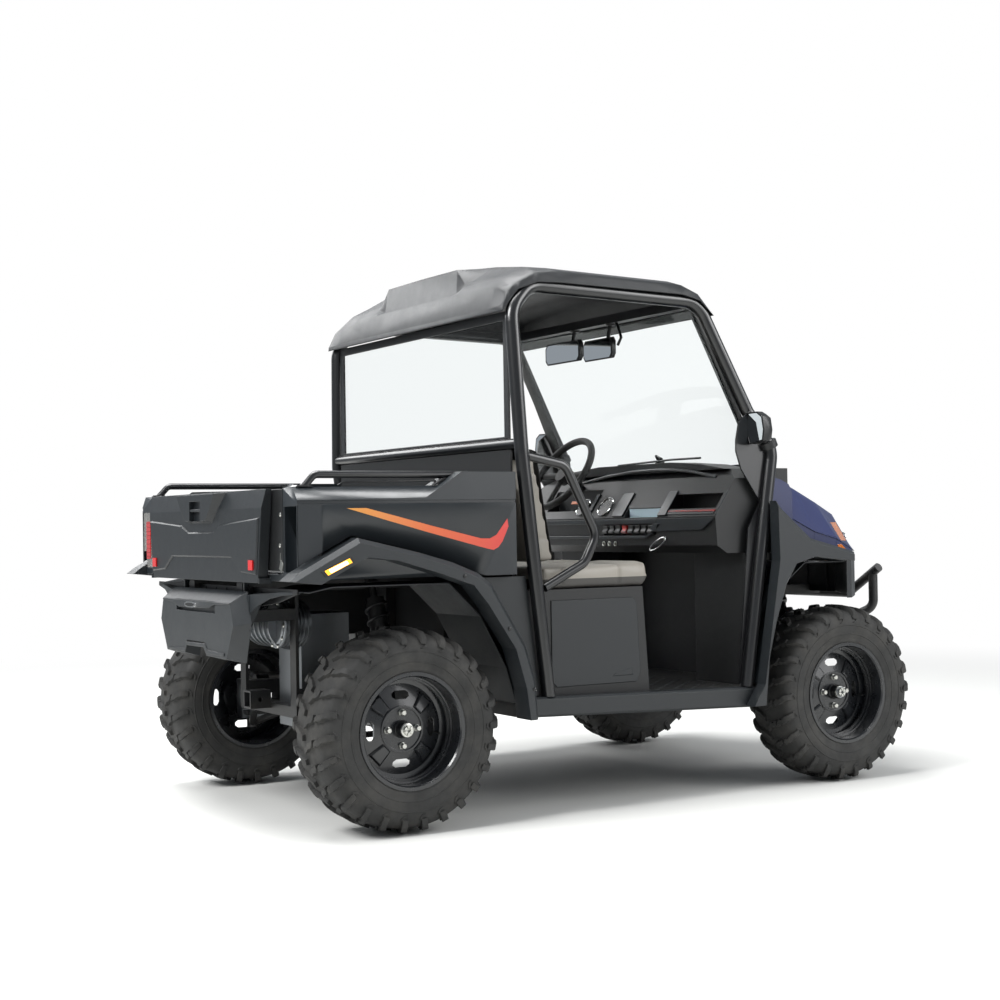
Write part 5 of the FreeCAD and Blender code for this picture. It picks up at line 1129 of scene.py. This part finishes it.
def addNose():
    bm = bmesh.new()
    for side in (-1, 1):
        addPrism(bm, [(frontAxle + x, side * 0.6915, z) for x, z in noseLook["cheek"]], (0, side * 0.0025, 0))
        for (x1, y1, top1, low1), (x2, y2, top2, low2) in zip(noseLook["skirt"], noseLook["skirt"][1:]):
            corners = ((x1, y1, low1), (x2, y2, low2), (x2, y2, top2), (x1, y1, top1))
            addPrism(bm, [(frontAxle + x, side * y, z) for x, y, z in corners], (0, -side * 0.003, 0))
    finishPiece(bm, "hood_cheeks", look["navy_gloss"], "chassis", bevel=0.0006)
    bm = bmesh.new()
    flatPanel(bm, frontAxle - rearAxle + 0.286, noseLook["back"], 0.003)
    for n in range(7):
        y = -0.36 + n * 0.12
        addBox(bm, (frontAxle + 0.279, y - 0.004, 0.716), (frontAxle + 0.2835, y + 0.004, 0.868))
    finishPiece(bm, "nose_back", extra["black_satin"], "chassis", bevel=0.0008)
    bm = bmesh.new()
    count, start, pitch = noseLook["bars"]
    for n in range(count):
        y = start + n * pitch
        addBox(bm, (frontAxle + 0.328, y - 0.0012, 0.741), (frontAxle + 0.330, y + 0.0012, 0.834))
    count, start, pitch = noseLook["wires"]
    for n in range(count):
        z = start + n * pitch
        addBox(bm, (frontAxle + 0.3262, -0.268, z - 0.0012), (frontAxle + 0.328, 0.268, z + 0.0012))
    finishPiece(bm, "grille_net", extra["grille_net"], "chassis")
    bowl, rim = bmesh.new(), bmesh.new()
    for side in (-1, 1):
        for y, r in noseLook["lamps"]:
            centre = (frontAxle + 0.3305, side * y, 0.936)
            addLathe(rim, centre, (1, 0, 0), [(r, 0.0), (r, 0.004), (r - 0.003, 0.005), (r - 0.005, 0.0)], 28)
            dome = [(0.0, 0.0), (r - 0.005, 0.0), (r - 0.008, 0.003), (0.0, 0.004)]
            addLathe(bowl, centre, (1, 0, 0), dome, 28)
    finishPiece(rim, "head_lamp_rings", extra["chrome"], "chassis")
    finishPiece(bowl, "head_lamp_lenses", extra["dial"], "chassis")
    bm = bmesh.new()
    for side in (-1, 1):
        addPrism(bm, [at(x, side * 0.7452, z) for x, z in noseLook["marker"]], (0, side * 0.003, 0))
    finishPiece(bm, "nose_markers", look["lamp_amber"], "chassis", bevel=0.0008)


addNose()
print("nose")
seatLook = {"pressure": 4.0, "stiff": 0.8, "cap": 0.008, "frames": 18, "voxel": 0.012, "channel": 0.010,
            "sunk": 0.0045,
            # lip: height below which the pad gets the darker vinyl, painted shade (0 leaves the backrest all
            # light)
            "cushion": {"half": 0.678, "seams": (-0.345, 0.0, 0.345), "lip": 0.818, "rows": (0.655, 0.90),
                        "outline": [(0.577, 0.7808), (1.010, 0.7808), (1.0325, 0.811), (1.0215, 0.8645),
                                    (0.577, 0.8535)]},
            "rest": {"half": 0.648, "seams": (-0.33, 0.0, 0.33), "lip": 0.0, "rows": (0.96, 1.19),
                     "outline": [(0.574, 0.880), (0.641, 0.880), (0.5625, 1.2555), (0.4655, 1.2555),
                                 (0.4655, 1.206)]}}


def shellOf(name, outline, half):  # closed block: outline in x and z, swept across
    bm = bmesh.new()
    addPrism(bm, [at(x, -half, z) for x, z in outline], (0, 2 * half, 0))
    return placed(name, plainMesh(bm, name))


def applied(item):
    mesh = evaluated(item)
    item.modifiers.clear()
    item.data = mesh
    return mesh


def swell(item, held):  # cloth under pressure, held at its seams and where it rests
    mesh = item.data
    rest = [v.co.copy() for v in mesh.vertices]
    item.vertex_groups.new(name="held").add([v.index for v in mesh.vertices if held(v.co)], 1.0, "REPLACE")
    cloth = item.modifiers.new("cloth", "CLOTH")
    cloth.settings.use_pressure = True
    cloth.settings.uniform_pressure_force = seatLook["pressure"]
    cloth.settings.effector_weights.gravity = 0
    cloth.settings.vertex_group_mass = "held"
    cloth.settings.bending_stiffness = seatLook["stiff"]
    cloth.point_cache.frame_end = seatLook["frames"]
    for step in range(1, seatLook["frames"] + 1):
        bpy.context.scene.frame_set(step)
    mesh = applied(item)
    for vertex, start in zip(mesh.vertices, rest):
        move = vertex.co - start
        if move.length > seatLook["cap"]:
            vertex.co = start + move.normalized() * seatLook["cap"]
    item.vertex_groups.clear()
    bpy.context.scene.frame_set(1)


def addPad(name, node, kind):
    form = seatLook[kind]
    item = shellOf(name, form["outline"], form["half"])
    remesh = item.modifiers.new("remesh", "REMESH")
    remesh.mode = "VOXEL"
    remesh.voxel_size = seatLook["voxel"]
    applied(item)

    def along(p):  # distance up the pad's face, from its row seams
        return p.x - rearAxle if kind == "cushion" else p.z

    def rests(p):  # where the pad lies on the seat box or the cab's back
        if kind == "cushion":
            return p.z < form["outline"][0][1] + 0.004
        return p.x - rearAxle < 0.574 - (p.z - 0.88) * 0.333 + 0.004

    def nearSeam(p, reach):
        gaps = [abs(p.y - s) for s in form["seams"]] + [abs(along(p) - s) for s in form["rows"]]
        return max(0.0, 1 - min(gaps) / reach)

    swell(item, lambda p: rests(p) or nearSeam(p, seatLook["channel"]) > 0)
    item.modifiers.new("fine", "SUBSURF").levels = 1
    mesh = applied(item)
    sink = [v.normal * seatLook["sunk"] * nearSeam(v.co, seatLook["channel"]) for v in mesh.vertices]
    for vertex, move in zip(mesh.vertices, sink):
        if not rests(vertex.co):
            vertex.co -= move
    mesh.materials.clear()
    mesh.materials.append(look["seat_vinyl"])
    mesh.materials.append(extra["vinyl_shade"])
    # faces below the lip get the darker vinyl: painted shade on the cushion's lower side
    for face in mesh.polygons:
        face.material_index = 1 if face.center.z < form["lip"] else 0
    mesh.shade_smooth()
    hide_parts(node)
    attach(item, "chassis")


def addSeats():
    addPad("seat_cushion_cover", "seat_cushion", "cushion")
    addPad("seat_backrest_cover", "seat_backrest", "rest")


addSeats()
print("seats")
stageLook = {"floor": "#d4d4d1", "half": 30.0, "near": 3.4, "far": 7.5, "air": "#dfe5ec", "air strength": 0.5,
             "aim": (0, 0, 0.7),
             # place, energy, size
             "lamps": {"top": ((-1.0, 0.5, 6.5), 620, 4.0), "key": ((-5.5, -1.0, 5.0), 480, 2.5),
                       "fill": ((4.0, -6.5, 3.0), 150, 4.0), "far": ((-1.5, 6.5, 5.0), 260, 4.0),
                       "front": ((5.0, -4.5, 4.5), 240, 3.5)}}


def directView(tree):  # 1 for what the camera sees, straight or through glass
    ray = addNode(tree, "ShaderNodeLightPath")
    return addNode(tree, "ShaderNodeMath", {0: ray.outputs["Is Camera Ray"],
                                            1: ray.outputs["Is Transmission Ray"]},
                   operation="MAXIMUM").outputs["Value"]


def addFloorPlane():  # pale floor that fades to plain white with distance
    mesh = bpy.data.meshes.new("floor")
    half = stageLook["half"]
    mesh.from_pydata([(-half, -half, 0), (half, -half, 0), (half, half, 0), (-half, half, 0)], [],
                     [(0, 1, 2, 3)])
    floor = placed("floor", mesh)
    pale = newMaterial("pale_floor", stageLook["floor"], 0.75)
    tree = pale.node_tree
    place = addNode(tree, "ShaderNodeTexCoord")
    reach = addNode(tree, "ShaderNodeVectorMath", {"Vector": place.outputs["Object"]}, operation="LENGTH")
    fade = addNode(tree, "ShaderNodeMapRange", {"Value": reach.outputs["Value"],
                                                "From Min": stageLook["near"], "From Max": stageLook["far"]},
                   interpolation_type="SMOOTHSTEP")
    share = addNode(tree, "ShaderNodeMath", {0: fade.outputs["Result"], 1: directView(tree)},
                    operation="MULTIPLY")
    plain = addNode(tree, "ShaderNodeEmission", {"Color": linear("#ffffff"), "Strength": 1.0})
    mix = addNode(tree, "ShaderNodeMixShader", {
        "Fac": share.outputs["Value"], 1: tree.nodes["Principled BSDF"].outputs["BSDF"],
                                                2: plain.outputs["Emission"]})
    tree.links.new(mix.outputs["Shader"], tree.nodes["Material Output"].inputs["Surface"])
    mesh.materials.append(pale)


def addStage():
    addFloorPlane()
    world = bpy.data.worlds.new("studio")
    bpy.context.scene.world = world
    world.use_nodes = True
    tree = world.node_tree
    tree.nodes.clear()
    soft = addNode(tree, "ShaderNodeBackground", {"Color": linear(stageLook["air"]),
                                                  "Strength": stageLook["air strength"]})
    plain = addNode(tree, "ShaderNodeBackground", {"Color": linear("#ffffff"), "Strength": 1.0})
    mix = addNode(tree, "ShaderNodeMixShader", {"Fac": directView(tree), 1: soft.outputs["Background"],
                                                2: plain.outputs["Background"]})
    addNode(tree, "ShaderNodeOutputWorld", {"Surface": mix.outputs["Shader"]})
    for name, (place, energy, size) in stageLook["lamps"].items():
        data = bpy.data.lights.new(name, "AREA")
        data.energy = energy
        data.size = size
        lamp = placed(name, data)
        lamp.location = place
        lamp.rotation_euler = (Vector(stageLook["aim"]) - Vector(place)).to_track_quat("-Z", "Y").to_euler()
    bpy.context.scene.view_settings.view_transform = "Standard"


addStage()
print("stage")
